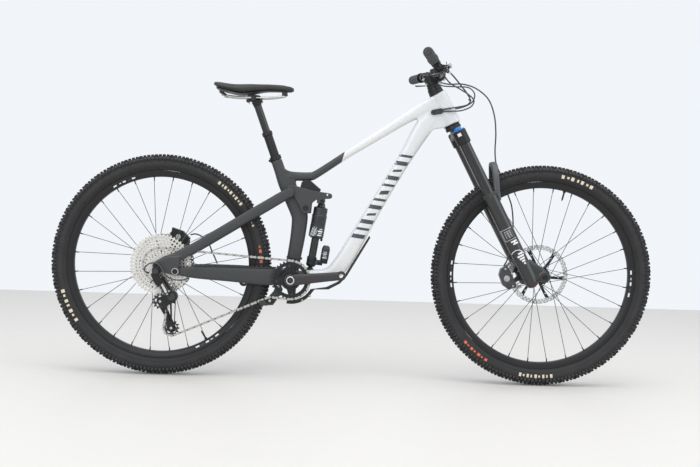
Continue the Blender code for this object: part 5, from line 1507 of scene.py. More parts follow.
def chain_pins():
    """Pin points at even steps round the chain's pitch line, as (forward, left, up)."""
    route = [Vector(p) for p in chain_route()]
    route.append(route[0].copy())
    lengths = [0.0]
    for one, two in zip(route, route[1:]):
        lengths.append(lengths[-1] + (two - one).length)
    count = 2 * round(lengths[-1] / CHAIN_PITCH / 2)
    pins, k = [], 0
    for i in range(count):
        wanted = lengths[-1] * i / count
        while lengths[k + 1] < wanted:
            k += 1
        share = (wanted - lengths[k]) / (lengths[k + 1] - lengths[k])
        pins.append(route[k].lerp(route[k + 1], share))
    return pins


def link_plate(one, two, side, left, thick, half):
    """One side plate of a chain link, waisted between its pins."""
    along = Vector((two.x - one.x, 0, two.z - one.z))
    length = along.length
    along.normalize()
    up = Vector((-along.z, 0, along.x))
    rows = [(-half, 0.35), (-half * 0.75, 0.8), (0, 1.0), (length * 0.3, 0.74), (length * 0.5, 0.66),
            (length * 0.7, 0.74), (length, 1.0), (length + half * 0.75, 0.8), (length + half, 0.35)]
    outline = [one + along * s + up * half * h for s, h in rows]
    outline += [one + along * s - up * half * h for s, h in reversed(rows)]
    middle = (one.y + two.y) / 2
    return prism([(p.x, p.z) for p in outline], middle + side * left, middle + side * (left + thick))


def chain_pieces():
    """The chain in five runs: the front run rides on the frame, the rear run on the seatstay and the cage
    run on the cage, while the upper and lower runs ride on no body.  In each run the outer links are
    bright, and the inner links and rollers are dark."""
    pins = chain_pins()
    groups = {word: ([], []) for word in ("front", "upper", "lower", "rear", "cage")}
    count = len(pins)
    for i, pin in enumerate(pins):
        following = pins[(i + 1) % count]
        middle = (pin + following) / 2
        if middle.x > 360:
            group = "front"
        elif middle.x < 40 and middle.z > -105 and not (middle.x > 20 and middle.z < -60):
            group = "rear"
        elif middle.z > -60:
            group = "upper"
        elif middle.x < 75 and middle.z < -100:
            group = "cage"
        else:
            group = "lower"
        outer = i % 2 == 0
        left, thick, half = (1.9, 0.9, 4.3) if outer else (1.0, 0.9, 3.9)
        bright, dark = groups[group]
        plates = bright if outer else dark
        plates.append(link_plate(pin, following, 1, left, thick, half))
        plates.append(link_plate(pin, following, -1, left, thick, half))
        dark.append(cylinder((pin.x, pin.z), 3.8, pin.y - 1.1, pin.y + 1.1, 12))
        bright.append(cylinder((pin.x, pin.z), 1.7, pin.y - 3.1, pin.y + 3.1, 8))
    rides = {"front": "frame", "rear": "seatstay", "cage": "cage"}
    bends = {"upper": (at(40, 0, 40), at(370, 0, 0)), "lower": (at(80, 0, -160), at(350, 0, -110))}
    for word, (bright, dark) in groups.items():
        for kind, parts, metal in (("outer_links", bright, CHAIN_STEEL), ("inner_links", dark, LINK_DARK)):
            piece = show("chain_%s_%s" % (word, kind), joined(*parts), metal, rides.get(word), sharp=30)
            if word in bends:
                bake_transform(piece)
            if (word, kind) == ("front", "outer_links"):
                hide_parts("chain")


def derailleur_pieces():
    hanger = cylinder((-2.5, -17), 12.0, -104, -90.6)
    ear = prism([(-16, -8), (10, -2), (12, -22), (4, -34), (-10, -34)], -97, -91)
    knuckle = turned(across_at(CAGE_PIVOT, -76), ACROSS,
                     [(0, 0), (0, 17), (1.5, 19), (4, 20), (25.8, 20), (25.8, 0)], 48)
    upper = smooth_loft([(-8, -97.5, -22, 24, 13), (4, -92, -48, 28, 14), (14, -86, -62, 26, 14)], 24,
                        3.2)
    lower = smooth_loft([(24, -76, -76, 28, 16), (36, -66, -90, 28, 20), (44, -62, -98, 26, 20)], 24,
                        3.2)
    show("derailleur_knuckles", moulded(joined(hanger, ear, knuckle, upper, lower), 1.0, 3, 0.4),
         BLACK_METAL, "seatstay", "derailleur_body")
    outer = moulded(prism([(-2, -36), (12, -34), (44, -84), (40, -100), (26, -98)], -92.5, -82), 1.0,
                    4, 0.4)
    show("derailleur_outer_link", outer, CAN_GREY, "seatstay")
    accent = prism([(4, -42), (10, -41), (36, -84), (30, -90)], -93.4, -92.0)
    show("derailleur_link_accent", accent, POLISHED, "seatstay", edge=0.5)
    inner = moulded(prism([(4, -34), (18, -36), (46, -78), (40, -90), (28, -86)], -76, -62), 1.0, 4,
                    0.4)
    show("derailleur_inner_link", inner, BLACK_METAL, "seatstay")
    pins = [cylinder(c, 2.6, -94.2, -60, 16) for c in ((2, -38), (36, -92), (13, -38), (42, -82))]
    show("derailleur_link_pins", joined(*pins), STEEL, "seatstay")
    show("derailleur_hanger_bolt", bolt((-2.5, -17), -103.6, RIGHT, 8.6, 2.2, 0.5), CAN_GREY,
         "seatstay")
    disc = turned(across_at(CAGE_PIVOT, -77.2), ACROSS, [(0, 0), (0, 11.5), (0.6, 12.2), (1.6, 12.2),
                                                                    (1.6, 0)], 40)
    show("derailleur_knuckle_cap", disc, CAN_GREY, "seatstay")
    barrel = rod(at(-27, -98, -26), at(-14, -94, -30), 4.6, 16)
    clamp = joined(bolt((10, -52), -93, RIGHT, 3.6, 3), cylinder((10, -52), 5.2, -93.4, -92.2, 20))
    show("derailleur_cable_clamp", joined(barrel, clamp), STEEL, "seatstay")

    y = cog_y()
    outer = prism([*arc(CAGE_PIVOT, 15, 70, -40, 8), (57, -190),
                   *arc(TENSION_PULLEY, 10, 10, -190, 12), (33, -190), (24, -142),
                   *arc(GUIDE_PULLEY, 11, 250, 110, 8), (20, -94)], y - 7, y - 5.4)
    slots = [prism([(45, -126), (55, -128), (54, -188), (48, -192)], y - 9, y - 3),
             prism([(28, -136), (38, -132), (43, -188), (36, -186)], y - 9, y - 3)]
    outer = cut(outer, *slots)
    inner = prism([*arc(GUIDE_PULLEY, 14, 50, 230, 10), (24, -180),
                   *arc(TENSION_PULLEY, 16, 190, 360, 10), (40, -170)], y + 5.2, y + 6.6)
    show("derailleur_cage_plates", joined(outer, inner), BLACK_METAL, "cage", "derailleur_cage",
         edge=0.25)
    pins = [joined(cylinder(c, 3.0, y - 6, y + 6, 20), bolt(c, y - 7, RIGHT, 4.6, 1.6),
                   bolt(c, y + 6.6, LEFT, 4.6, 1.6)) for c in (GUIDE_PULLEY, TENSION_PULLEY)]
    show("derailleur_cage_bolts", joined(*pins), STEEL, "cage")
    for word, centre in (("guide_pulley", GUIDE_PULLEY), ("tension_pulley", TENSION_PULLEY)):
        radius = pitch_radius(PULLEY_TEETH) - TOOTH_DEPTH
        disc = turned(across_at(centre, y), ACROSS, [(-4.4, 3.3), (-4.4, 8), (-3.6, 9), (-1.2, 9.4),
                                                     (-1.2, radius), (1.2, radius), (1.2, 9.4),
                                                     (3.6, 9), (4.4, 8), (4.4, 3.3)], 40)
        holes = [cylinder((centre[0] + 14.2 * math.cos(2 * math.pi * k / 5 + 0.4),
                           centre[1] + 14.2 * math.sin(2 * math.pi * k / 5 + 0.4)), 5.2, y - 4, y + 4,
                          16) for k in range(5)]
        disc = cut(disc, *holes)
        show(word + "_wheel", joined(disc, tooth_ring(centre, PULLEY_TEETH, y, 2.2)), BLACK_PLASTIC,
             word, word, sharp=30)


# ---------------------------------------------------------------- fork
def fork_pieces():
    race = turned(fork_at(59.4, 0, 0), DOWN_FORK, [(0, 0), (0, 26), (5, 26.4), (12, 27.5), (16, 27.5),
                                                   (16, 0)], 48)
    crown_rows = [(104, -71, 32, 38), (97, -40, 36, 38), (88, 0, 36, 38), (97, 40, 36, 38),
                  (104, 71, 32, 38)]
    crown = loft([(fork_at(a, 2, left), depth, width) for a, left, depth,
                  width in smooth_rows(crown_rows, 4)], 32, 3.0)
    parts = [race, crown]
    for side, _ in SIDES:
        parts.append(turned(fork_at(86, 3, side * FORK_HALF_SPAN), DOWN_FORK,
                            [(0, 0), (0, 22.6), (3, 23.6), (46, 23.6), (48.5, 21.5), (48.5, 0)], 48))
    crown = show("fork_crown_forging", moulded(joined(*parts), 1.7, 3, 0.4), BLACK_METAL, "steering",
                 "fork_crown", sharp=50)
    show("fork_steerer", rod(fork_at(-131, 0, 0), fork_at(70, 0, 0), 14.2), BLACK_METAL, "steering")
    for side, word in SIDES:
        left = side * FORK_HALF_SPAN
        show("fork_stanchion_" + word, rod(fork_at(120, 3, left), fork_at(470, 3, left),
                                           STANCHION_RADIUS, 48), BLACK_GLOSS, "steering")
        ring = turned(fork_at(132, 3, left), DOWN_FORK,
                      [(0, 19.2), (0, 22), (2, 22), (3, 20.4), (3, 19.2)], 48)
        show("fork_crown_ring_" + word, ring, BLACK_METAL, "steering")
        top = turned(fork_at(86.4, 3, left), -DOWN_FORK, [(0, 0), (0, 21.4), (2.2, 21.4), (3.2, 19.6),
                                                          (3.2, 0)], 48)
        show("fork_top_cap_" + word, top, BLUE if side == RIGHT else CAN_GREY, "steering")
    dial = turned(fork_at(KNOB_ALONG + 2, 3, -FORK_HALF_SPAN), -DOWN_FORK,
                  [(0, 0), (0, 13.4), (3.4, 13.4), (4.2, 12.6), (5.4, 10), (7.4, 9.4), (8, 8), (8, 0)],
                  24)
    ridges = []
    for k in range(12):
        angle = 2 * math.pi * k / 12
        place = fork_at(KNOB_ALONG, 3 + 13.2 * math.cos(angle), -FORK_HALF_SPAN + 13.2 * math.sin(
            angle))
        ridges.append(rod(place, place - DOWN_FORK * 2.2 * MM, 1.1, 8))
    show("compression_knob_dial", joined(dial, *ridges), BLUE, "compression_knob", "compression_knob")
    valve = turned(fork_at(83, 3, FORK_HALF_SPAN), -DOWN_FORK,
                   [(0, 0), (0, 12), (6, 12), (8, 10), (8, 0)], 32)
    show("fork_air_cap", valve, BLACK_METAL, "steering")

    def on_fork(along, ahead):
        return in_plane(fork_at(along, ahead, 0))

    printed("fork_crown_sticker",
            [[on_fork(95, -8), on_fork(95, 4), on_fork(106, 4), on_fork(106, -8)]], RIGHT, crown,
            CHALK_WHITE, "steering", 3.0)

    legs = []
    for side, _ in SIDES:
        left = side * FORK_HALF_SPAN
        legs.append(turned(fork_at(326, 3, left), DOWN_FORK,
                           [(0, 0), (0, 23.6), (4, LEG_RADIUS), (122, LEG_RADIUS), (322, 21.8),
                            (334, 16), (336, 0)], 48))
        foot = ((585, 6, left, 56, 32), (612, 20, left, 56, 30), (632, 36, left + side, 50, 27),
                (650, 47, left + side, 34, 24))
        legs.append(smooth_loft([(*from_axle(fork_at(along, ahead, y)), depth, width)
                                 for along, ahead, y, depth, width in foot], 28, 3.0))
        legs.append(cylinder((WHEELBASE, 0), 18, *sorted((side * 55.3, side * 88))))
    posts = fork_prism([(584, -34), (600, -34), (604, -14), (580, -14)], 50, 60)
    lower_post = fork_prism([(626, -34), (640, -34), (640, -14), (620, -14)], 50, 60)
    arch_rows = [(352, 20, -64, 24, 16), (318, 34, -60, 22, 16), (278, 52, -50, 22, 15),
                 (248, 64, -30, 24, 15), (237, 67, 0, 25, 15), (248, 64, 30, 24, 15),
                 (278, 52, 50, 22, 15), (318, 34, 60, 22, 16), (352, 20, 64, 24, 16)]
    arch = loft([(fork_at(a, ahead, left), depth, width)
                 for a, ahead, left, depth, width in smooth_rows(arch_rows, 3)], 24, 3.0)
    lowers = moulded(joined(*legs, posts, lower_post), 1.8, 3, 0.4)
    lowers = show("fork_lower_casting", lowers, FORK_BLACK, "fork_lowers", "fork_lowers", sharp=50)
    show("fork_arch", moulded(arch, 1.5, 3, 0.4), ARCH_GREY, "fork_lowers", sharp=50)
    for side, word in SIDES:
        left = side * FORK_HALF_SPAN
        seal = turned(fork_at(317, 3, left), DOWN_FORK, [(0, 19.4), (0, 20.6), (2, 22), (5, 22.4),
                                                         (5.6, 23.4), (9.6, 23.4), (9.6, 19.4)], 48)
        show("fork_seal_" + word, seal, SOFT_RUBBER, "fork_lowers")
        foot = turned(fork_at(660, 3, left), DOWN_FORK, [(0, 0), (0, 9), (3, 9), (4, 7.6), (4, 0)], 24)
        show("fork_foot_nut_" + word, foot, RED if side == RIGHT else BLACK_METAL, "fork_lowers")

    def band(low, high, near, far):
        return [on_fork(low, near), on_fork(low, far), on_fork(high, far), on_fork(high, near)]

    boxed = [band(446, 448.4, -19, 19), band(484, 486.4, -19, 19), band(448, 484, -19, -16.6)]
    for i in range(4):
        boxed.append(band(454 + i * 7, 456.4 + i * 7, -9 + i * 2, 10 - i * 2))
    for i in range(3):
        boxed.append(band(453, 478, -11 + i * 9, -8.8 + i * 9))
    white = [band(491, 496, -4, 17), band(500, 505, 0, 18), band(493, 504, 5, 10)]
    white += [[on_fork(546 + r * math.cos(a), -2 + r * math.sin(a)) for r, a in
             ((23, math.radians(k * 30)), (23, math.radians(k * 30 + 30)),
              (20.6, math.radians(k * 30 + 30)), (20.6, math.radians(k * 30)))] for k in range(3, 10)]
    for along, near, far in ((536, 0, 16), (545, -6, 17), (554, -2, 16), (563, 2, 13), (572, 5, 11)):
        white.append(band(along, along + 6, near, far))
    for side, word in SIDES:
        printed("fork_leg_box_" + word, boxed, side, lowers, DECAL_GREY, "fork_lowers", 3.0)
        printed("fork_leg_marks_" + word, white, side, lowers, CHALK_WHITE, "fork_lowers", 3.0)
    mount = fork_prism([(566, -20), (576, -20), (580, -34), (646, -34), (652, -26), (656, -20),
                        (666, -20), (664, -44), (572, -44)], 52.6, 58.4)
    show("front_calliper_mount", mount, STEEL, "fork_lowers", edge=0.5)
    block = moulded(front_calliper(), 1.0, 2, 0.4)
    show("front_calliper_block", block, ARCH_GREY, "fork_lowers", "front_calliper")
    bolts = []
    for along, ahead in ((580, -46), (645, -48)):
        place = on_fork(along, ahead)
        bolts.append(bolt(place, 60.6, LEFT, 4.2, 4))
        bolts.append(bolt(place, 30.2, RIGHT, 4.2, 2))
    bolts.append(bolt(on_fork(612, -56), 30.2, RIGHT, 11, 1.6, 0.3))
    show("front_calliper_bolts", joined(*bolts), STEEL, "fork_lowers")


# ---------------------------------------------------------------- cockpit
def grip_mesh(side):
    bar_end = at(*bar_point(side * 390))
    inward = (at(*bar_point(side * 255)) - bar_end).normalized()
    start = bar_end - inward * 3 * MM
    length = 140.0
    profile = [(0, 0), (0, 13.4), (1.2, 15.0), (3, GRIP_RADIUS)]
    place = 8.0
    while place < length - 28:
        profile += [(place, GRIP_RADIUS), (place + 0.7, GRIP_RADIUS - 0.9),
                    (place + 2.0, GRIP_RADIUS - 0.9), (place + 2.7, GRIP_RADIUS)]
        place += 4.6
    profile += [(length - 23, GRIP_RADIUS), (length - 22, 17.0), (length - 20, 17.4)]
    profile += [(length - 19.5, 12), (length - 19.5, 0)]
    rubber_part = turned(start, inward, profile, 40)
    ribs = []
    side_one, side_two = frame_of(inward)
    for k in range(16):
        angle = 2 * math.pi * k / 16
        out = side_one * math.cos(angle) + side_two * math.sin(angle)
        ribs.append(rod(start + inward * 6 * MM + out * (GRIP_RADIUS - 0.7) * MM,
                        start + inward * (length - 26) * MM + out * (GRIP_RADIUS - 0.7) * MM, 1.0, 6))
    collar = turned(start + inward * (length - 19.6) * MM, inward,
                    [(0, 11.4), (0, 17.2), (0.8, 18), (9, 18), (10, 17.2), (10, 11.4)], 40)
    return joined(rubber_part, *ribs), collar, start, inward


def cockpit_pieces():
    spacers = turned(fork_at(-90.6, 0, 0), DOWN_FORK, [(0, 14.7), (0, 20.6), (0.5, 21), (9.4, 21.4),
                                                       (9.9, 20.8), (10.4, 23.4), (18.6, 24.4),
                                                       (19.2, 23.8), (19.8, 24.6), (32.6, 25.6),
                                                       (33.2, 25.2), (33.2, 14.7)], 48)
    show("headset_cone_and_spacers", spacers, BLACK_METAL, "steering", "headset_spacers", sharp=30)
    post = rod(fork_at(-131, 0, 0), fork_at(-91.4, 0, 0), 19.5)
    x, z = BAR_CENTRE
    clamp = cylinder(BAR_CENTRE, 24.0, -26, 26)
    neck = loft([(fork_at(-111, 6, 0), 32, 34), (at(x - 8, 0, z - 3), 34, 46)], 28, 3.0)
    stem_body = moulded(joined(post, clamp, neck), 1.3, 4, 0.4)
    window = cylinder((x, z), 40, -7, 7)
    cutter = cut(window, cylinder((x, z), 21.0, -9, 9))
    show("stem_forging", cut(stem_body, cutter), BLACK_METAL, "steering", "stem", sharp=50)
    show("stem_face_bolts", joined(*[
        turned(at(x + 20, left, z + up), Vector((0.97, 0, 0.2)).normalized(),
               [(0, 0), (0, 3.8), (4.6, 3.8), (5.2, 3.2), (5.2, 1.8), (3, 1.8), (3, 0)], 20)
        for left in (-17, 17) for up in (14, -15)]), POLISHED, "steering")
    cap = turned(fork_at(-131, 0, 0), -DOWN_FORK, [(0, 0), (0, 17.6), (1.6, 17.2), (3.0, 15), (3.4, 6),
                                                   (1.6, 5), (1.6, 0)], 40)
    show("stem_top_cap", cap, CAN_GREY, "steering")
    pinch = []
    for along in (-122, -101):
        place = fork_at(along, -18, 0)
        pinch.append(rod(place - ACROSS * 12 * MM, place + ACROSS * 12 * MM, 3.6, 20))
    show("stem_pinch_bolts", joined(*pinch), POLISHED, "steering")
    rows = [(390, BAR_RADIUS), (250, BAR_RADIUS), (150, 11.6), (110, 13), (85, 15.5), (60, 17.3),
            (38, 17.5), (0, 17.5)]
    sides = [(-y, r) for y, r in rows] + [(y, r) for y, r in reversed(rows[:-1])]
    show("handlebar_tube", tube([at(*bar_point(y)) for y, _ in sides], [r for _, r in sides], 36),
         FORK_BLACK, "steering", "handlebar", sharp=50)

    for side, word in SIDES:
        grip_part, collar, start, inward = grip_mesh(side)
        show("grip_%s_rubber" % word, grip_part, GRIP_RUBBER, "steering", "grip_" + word, sharp=30)
        show("grip_%s_collar" % word, collar, BLACK_METAL, "steering", edge=0.3)
        plug = turned(start, -inward, [(-0.6, 0), (-0.6, 12.6), (0.5, 12.4), (0.9, 11.4), (0.9, 4.4),
                                       (0.2, 4), (0.2, 0)], 32)
        show("grip_%s_end_plug" % word, plug, BLACK_PLASTIC, "steering")

        show("brake_master_%s_body" % word, moulded(on_side(master_mesh, side), 0.9, 3, 0.4),
             BLACK_METAL, "steering", "brake_master_" + word)
        show("brake_lever_%s_blade" % word, moulded(on_side(lever_mesh, side), 0.8, 3, 0.5), STEEL,
             "brake_lever_" + word, "brake_lever_" + word)
        out, ahead, up = LEVER_PIVOT
        pin = rod(off_bar(side, out, ahead, up - 10), off_bar(side, out, ahead, up + 10), 2.4, 16)
        lid_start = off_bar(side, 226, 12, -6)
        lid_end = off_bar(side, 182, 30, -13)
        lid = loft([(lid_start, 3, 13), ((lid_start + lid_end) / 2, 3.6, 14), (lid_end, 3, 12)], 20,
                   4.0)
        show("brake_master_%s_lid" % word, lid, CAN_GREY, "steering")
        hose_end = off_bar(side, 157, 42.5, -23)
        collar_part = rod(off_bar(side, 168, 36, -22.3), hose_end, 5.2, 6)
        show("brake_%s_hose_nut" % word, joined(pin, collar_part), POLISHED, "steering")

    show("shifter_housing", moulded(shifter_mesh(), 0.9, 2, 0.4), BLACK_PLASTIC, "steering",
         "shifter_body")
    out, ahead, up = SHIFT_PIVOT
    face = turned(off_bar(RIGHT, out, ahead, -34.6), SHIFT_AXIS,
                  [(-2, 0), (-2, 12), (-0.6, 13.4), (0.6, 13.4), (0.6, 0)], 40)
    show("shifter_face", face, POLISHED, "steering")
    show("shift_paddle_lever", moulded(shift_paddle(), 0.8, 2, 0.5), CAN_GREY, "shift_paddle",
         "shift_paddle")
    second = loft([(off_bar(RIGHT, out + 4, ahead + 12, -26), 4, 8),
                   (off_bar(RIGHT, out + 18, ahead + 26, -30), 4, 9),
                   (off_bar(RIGHT, out + 32, ahead + 28, -32), 4, 12)], 20, 3.0)
    show("shift_release_lever", second, BLACK_PLASTIC, "steering")
    show("dropper_remote_body", moulded(remote_mesh(), 0.9, 2, 0.4), BLACK_METAL, "steering",
         "dropper_remote")
    show("dropper_paddle_lever", moulded(dropper_paddle(), 0.8, 2, 0.5), BLACK_PLASTIC,
         "dropper_paddle", "dropper_paddle")


def master_mesh():
    """The right brake's master cylinder without bores."""
    ring = bar_ring(RIGHT, 226, 13, 16)
    outer_end = off_bar(RIGHT, 232, 8, -14)
    barrel = turned(outer_end, off_bar(RIGHT, 160, 40, -22) - outer_end,
                    [(0, 0), (0, 9), (60, 9), (66, 6.4), (78, 6.4), (78, 0)], 32)
    base = loft([(off_bar(RIGHT, 226, 0, -12), 12, 12), (off_bar(RIGHT, 222, 13, -15), 12, 12)], 28,
                3.0)
    out, ahead, up = LEVER_PIVOT
    ears = []
    for rise in (-7.5, 7.5):
        ears.append(loft([(off_bar(RIGHT, out + 4, ahead - 26, up + rise * 0.9), 4, 14),
                          (off_bar(RIGHT, out - 1, ahead + 5, up + rise), 4, 12)], 28, 3.0))
    return joined(ring, barrel, base, *ears)


def lever_mesh():
    """The right brake's lever, hooked at its tip."""
    out, ahead, up = LEVER_PIVOT
    tip_out, tip_ahead, tip_up = LEVER_TIP
    hub = rod(off_bar(RIGHT, out, ahead, up - 4.6), off_bar(RIGHT, out, ahead, up + 4.6), 6.5)
    points = [(out, ahead, up, 8, 9), (out + 20, ahead + 12, up, 9, 8),
              (out + 60, ahead + 16, up - 1, 9, 6), (out + 100, ahead + 12, up - 3, 10, 6),
              (tip_out - 6, tip_ahead - 3, tip_up, 10, 7), (tip_out, tip_ahead, tip_up, 9, 8)]
    blade = loft([(off_bar(RIGHT, a, b, c), depth, width) for a, b, c, depth,
                  width in smooth_rows(points, 4)], 20, 3.0)
    return joined(hub, blade)


def shifter_mesh():
    ring = bar_ring(RIGHT, 184, 12, 15.6)
    out, ahead, _ = SHIFT_PIVOT
    housing = turned(off_bar(RIGHT, out, ahead, -16), SHIFT_AXIS,
                     [(0, 0), (0, 15), (3, 17), (15, 17), (18, 14), (18, 0)])
    spout = rod(off_bar(RIGHT, out, ahead + 8, -23), off_bar(RIGHT, out - 34, ahead + 22, -25), 4.5)
    return joined(ring, housing, spout)


def remote_mesh():
    ring = bar_ring(LEFT, 186, 12, 15.6)
    out, ahead, up = REMOTE_PIVOT
    block = loft([(off_bar(LEFT, out, ahead, -13), 14, 14),
                  (off_bar(LEFT, out - 4, ahead + 8, up - 3), 14, 14)], 28, 3.0)
    spout = rod(off_bar(LEFT, out - 4, ahead + 6, up - 2), off_bar(LEFT, out - 36, ahead + 18, up - 4),
                4)
    return joined(ring, block, spout)


# ---------------------------------------------------------------- saddle and post
SADDLE_ROWS = [(165, 612, 11, 62), (172, 610, 18, 104), (186, 606, 24, 136), (208, 601, 28, 145),
               (234, 597, 32, 138), (262, 596, 36, 114), (290, 599, 33, 88), (318, 602, 27, 68),
               (352, 604.5, 23, 53), (390, 604, 22, 44), (418, 601.5, 20, 38), (431, 600, 13, 28)]


def saddle_mesh():
    """The padded top: a shell with a shallow channel, drooping sides and a turned-up tail."""
    mesh = bmesh.new()
    rings = []
    sides = 40
    for x, z, depth, width in smooth_rows(SADDLE_ROWS, 4):
        ring = []
        for k in range(sides):
            angle = 2 * math.pi * (k + 0.5) / sides
            across, high = squarish(angle, 0.8)
            left = across * width / 2
            up = high * depth / 2
            if high > 0:
                up -= 2.4 * math.exp(-(left / 8.0) ** 2) * min(1.0, depth / 22)
                up -= 3.2 * (left / 72) ** 2
            else:
                up += 5.0 * (1 - (abs(across)) ** 2) * min(1.0, depth / 30)
                up -= 2.0 * abs(across) ** 3
            ring.append(mesh.verts.new(at(x, left, z + up)))
        rings.append(ring)
    bridge_all(mesh, rings)
    for ring in (rings[0], rings[-1]):
        centre = sum((v.co for v in ring), Vector()) / len(ring)
        middle = [mesh.verts.new(centre)]
        bridge(mesh, ring, middle)
    return finish_mesh(mesh)


def saddle_pieces():
    saddle = show("saddle_padding", saddle_mesh(), LEATHER, "post", "saddle", sharp=80)
    subsurf = saddle.modifiers.new("smooth", "SUBSURF")
    subsurf.levels = 1
    subsurf.render_levels = 1
    tree = BVHTree.FromPolygons([v.co for v in saddle.data.vertices],
                                [p.vertices for p in saddle.data.polygons])
    seams = []
    for side, _ in SIDES:
        for reach, low, high in ((0.62, 186, 408), (0.9, 178, 420)):
            points = []
            for x, z, depth, width in smooth_rows(SADDLE_ROWS, 4):
                if not low <= x <= high:
                    continue
                start = at(x, side * width / 2 * reach, z + 60)
                hit, _, _, _ = tree.ray_cast(start, -UPWARD)
                if hit:
                    points.append(hit + UPWARD * 0.25 * MM)
            seams.append(tube(points, [0.55] * len(points), 8))
    show("saddle_seams", joined(*seams), GRIP_RUBBER, "post")
    base = [(176, 597, 6, 100), (208, 589, 6, 122), (250, 581, 6, 104), (290, 584, 6, 72),
            (340, 593, 6, 44), (400, 594, 6, 30), (424, 594, 5, 20)]
    shell = smooth_loft([(x, 0, z, depth, width) for x, z, depth, width in base], 28, 3.0)
    show("saddle_base_shell", shell, BLACK_PLASTIC, "post")
    rail = smooth_route(rail_route(), 5)
    show("saddle_rail_pair", tube(rail, [3.5] * len(rail), 16), STEEL, "post", "saddle_rails", sharp=60)
    sockets = [loft([(at(186, side * 34, 586), 9, 14), (at(196, side * 33.5, 580), 10, 13),
                     (at(207, side * 31, 574), 8, 10)], 20, 3.0) for side, _ in SIDES]
    sockets.append(loft([(at(392, 0, 586), 16, 34), (at(410, 0, 587), 16, 26)], 20, 3.0))
    show("saddle_rail_sockets", joined(*sockets), BLACK_PLASTIC, "post")

    inner = rod(post_at(-104), post_at(132), POST_RADIUS, 48)
    show("dropper_stanchion", inner, BLACK_GLOSS, "post", "dropper_inner")
    neck = loft([(post_at(-90), 27, 27), (post_at(-104), 30, 33), (at(300, 0, 561), 28, 38)], 28, 2.6)
    cradle = cylinder((299, 567), 9.0, -28, 28)
    bar = loft([(at(276, 0, 562), 9, 30), (at(299, 0, 560), 11, 34), (at(324, 0, 562), 9, 30)], 28, 3.0)
    barrels = [cylinder((x, 559), 5.6, -15, 15) for x in (278, 322)]
    show("dropper_head", moulded(joined(neck, cradle, bar, *barrels), 1.0, 3, 0.4), BLACK_METAL, "post")
    clamps = [loft([(at(278, side * RAIL_LEFT, 573.6), 6, 14),
                    (at(299, side * RAIL_LEFT, 575.4), 7, 16),
                    (at(320, side * RAIL_LEFT, 573.8), 6, 14)], 20, 3.0) for side, _ in SIDES]
    show("saddle_rail_clamps", joined(*clamps), BLACK_METAL, "post")
    bolts = [rod(at(x, 0, 548), at(x, 0, 577), 2.6, 16) for x in (282, 318)]
    nuts = [rod(at(x, -12, 575), at(x, 12, 575), 3.8, 16) for x in (282, 318)]
    show("saddle_clamp_bolts", joined(*bolts, *nuts), POLISHED, "post")


# ---------------------------------------------------------------- hoses and housings
def hose(name, route, diameter, node, *bend):
    """A cord along a smooth route through its points, standing in for the named CAD node."""
    points = smooth_route(route, 8)
    mesh = tube(points, [diameter / 2] * len(points), 14)
    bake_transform(show(name, mesh, HOSE, None, node, sharp=60))


def hose_pieces():
    ends = (at(1012, 0, 590), at(962, 0, 552))
    hose("rear_brake_hose_front", rear_brake_front_route(), 5.0, "rear_brake_front_hose",
         "steering", "frame", *ends)
    hose("shift_housing_front", derailleur_front_route(), 4.6, "derailleur_front_housing",
         "steering", "frame", *ends)
    hose("dropper_housing_front", dropper_route(), 4.6, "dropper_housing", "steering", "frame", *ends)
    hose("front_brake_hose_run", front_brake_route(), 5.0, "front_brake_hose",
         "steering", "fork_lowers", at(1116, 55, 541), fork_at(300, 84, 66))
    hose("rear_brake_hose_rear", rear_brake_rear_route(), 5.0, "rear_brake_hose",
         "chainstay", "seatstay", at(174, 54, 20), at(126, 55, 95))
    hose("shift_housing_rear", derailleur_rear_route(), 4.6, "derailleur_rear_housing",
         "chainstay", "seatstay", at(96, -82, -42), at(34, -103, -31))
    tie = turned(at(1021, -38.5, 583), Vector((-0.3, 0, -1)), [(0, 2), (0, 5.6), (4, 5.6), (4, 2)], 16)
    show("hose_tie", tie, BLACK_PLASTIC, "steering")
    clip = loft([(fork_at(300, 76, 64), 8, 9), (fork_at(300, 88, 67), 8, 9)], 16, 3.0)
    show("hose_clip", clip, BLACK_PLASTIC, "fork_lowers")
    ferrule = rod(at(-31, -101.5, -21), at(-24, -98.6, -25), 3.3, 16)
    show("shift_housing_ferrule", ferrule, BLACK_METAL, "seatstay")


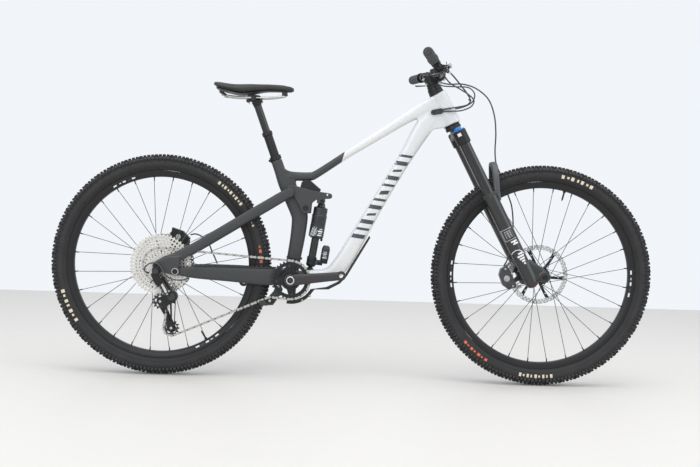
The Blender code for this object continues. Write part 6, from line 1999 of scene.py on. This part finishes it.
# ---------------------------------------------------------------- floor, light and camera
def stage_pieces():
    def plane(name, corners, material):
        mesh = bmesh.new()
        mesh.faces.new([mesh.verts.new(Vector(c)) for c in corners])
        thing = as_object(mesh, name)
        thing.data.materials.append(material)
        return thing

    floor = plane("floor", ((-14, -8, -0.0005), (14, -8, -0.0005), (14, 2.7, -0.0005),
                            (-14, 2.7, -0.0005)), FLOOR)

    world = bpy.data.worlds.new("soft_room")
    bpy.context.scene.world = world
    world.use_nodes = True
    shade = world.node_tree.nodes["Background"]
    shade.inputs["Color"].default_value = (0.93, 0.96, 1.0, 1.0)
    shade.inputs["Strength"].default_value = 0.95

    def lamp(name, place, aim, size, power, colour):
        data = bpy.data.lights.new(name, "AREA")
        data.shape = "RECTANGLE"
        data.size, data.size_y = size
        data.energy = power
        data.color = colour
        thing = bpy.data.objects.new(name, data)
        bpy.context.scene.collection.objects.link(thing)
        thing.location = place
        thing.rotation_mode = "QUATERNION"
        thing.rotation_quaternion = (Vector(aim) - Vector(place)).to_track_quat("-Z", "Y")

    lamp("ceiling_panel", (0, -0.8, 3.4), (0, 0, 0.4), (5.0, 3.0), 95, (1.0, 0.99, 0.97))
    lamp("front_panel", (-1.8, -4.2, 2.2), (0, 0, 0.5), (3.0, 2.0), 45, (0.96, 0.98, 1.0))
    lamp("side_panel", (3.4, -1.6, 1.8), (0.3, 0, 0.5), (2.0, 2.0), 22, (1.0, 1.0, 1.0))


CAMERA_PLACE = Vector((-0.0112, -3.57, 0.6263))
CAMERA_AIM = Vector((-0.0073, 0.0, 0.4947))
CAMERA_ROLL = math.radians(1.72)
LENS = 54.26


def camera_piece():
    data = bpy.data.cameras.new("camera")
    data.lens = LENS
    data.sensor_width = 36.0
    thing = bpy.data.objects.new("camera", data)
    bpy.context.scene.collection.objects.link(thing)
    thing.location = CAMERA_PLACE
    turn = (CAMERA_AIM - CAMERA_PLACE).to_track_quat("-Z", "Y")
    thing.rotation_mode = "QUATERNION"
    thing.rotation_quaternion = turn @ Quaternion((0.0, 0.0, 1.0), CAMERA_ROLL)
    bpy.context.scene.camera = thing


HOSE = finish("hose_cover", (0.045, 0.046, 0.048), 0.5, grain=0.2, size=1.0, bump=0.05)
FLOOR = finish("floor_tiles", (0.60, 0.585, 0.565), 0.55, grain=0.015, size=60.0, bump=0.01)

frame_pieces()
guide_pieces()
rear_triangle_pieces()
link_pieces()
shock_pieces()
wheel_pieces((0, 0), "rear", (-14.2, 36.2), (58.2, 60.0), 302, dashes(196, 217, 334, 346, 7)
             + dashes(38, 57, 334, 345, 9) + dashes(24, 32, 335, 342, 4, 0.5),
             dashes(-3, 14, 335, 344, 6, 0.7), dashes(108, 124, 302, 307, 5, 0.7)
             + dashes(-66, -48, 302, 307, 5, 0.7))
wheel_pieces((WHEELBASE, 0), "front", (-33.2, 30.2), (42.3, 44.1), 76,
             dashes(62, 82, 334, 346, 7) + dashes(259, 279, 334, 346, 9),
             dashes(222, 240, 335, 344, 7, 0.7),
             dashes(172, 190, 302, 307, 5, 0.7) + dashes(-12, 6, 302, 307, 5, 0.7))
hub_pieces()
cassette_pieces()
crank_pieces()
chain_pieces()
derailleur_pieces()
fork_pieces()
cockpit_pieces()
saddle_pieces()
hose_pieces()
stage_pieces()
camera_piece()

bpy.context.scene.view_settings.view_transform = "Standard"
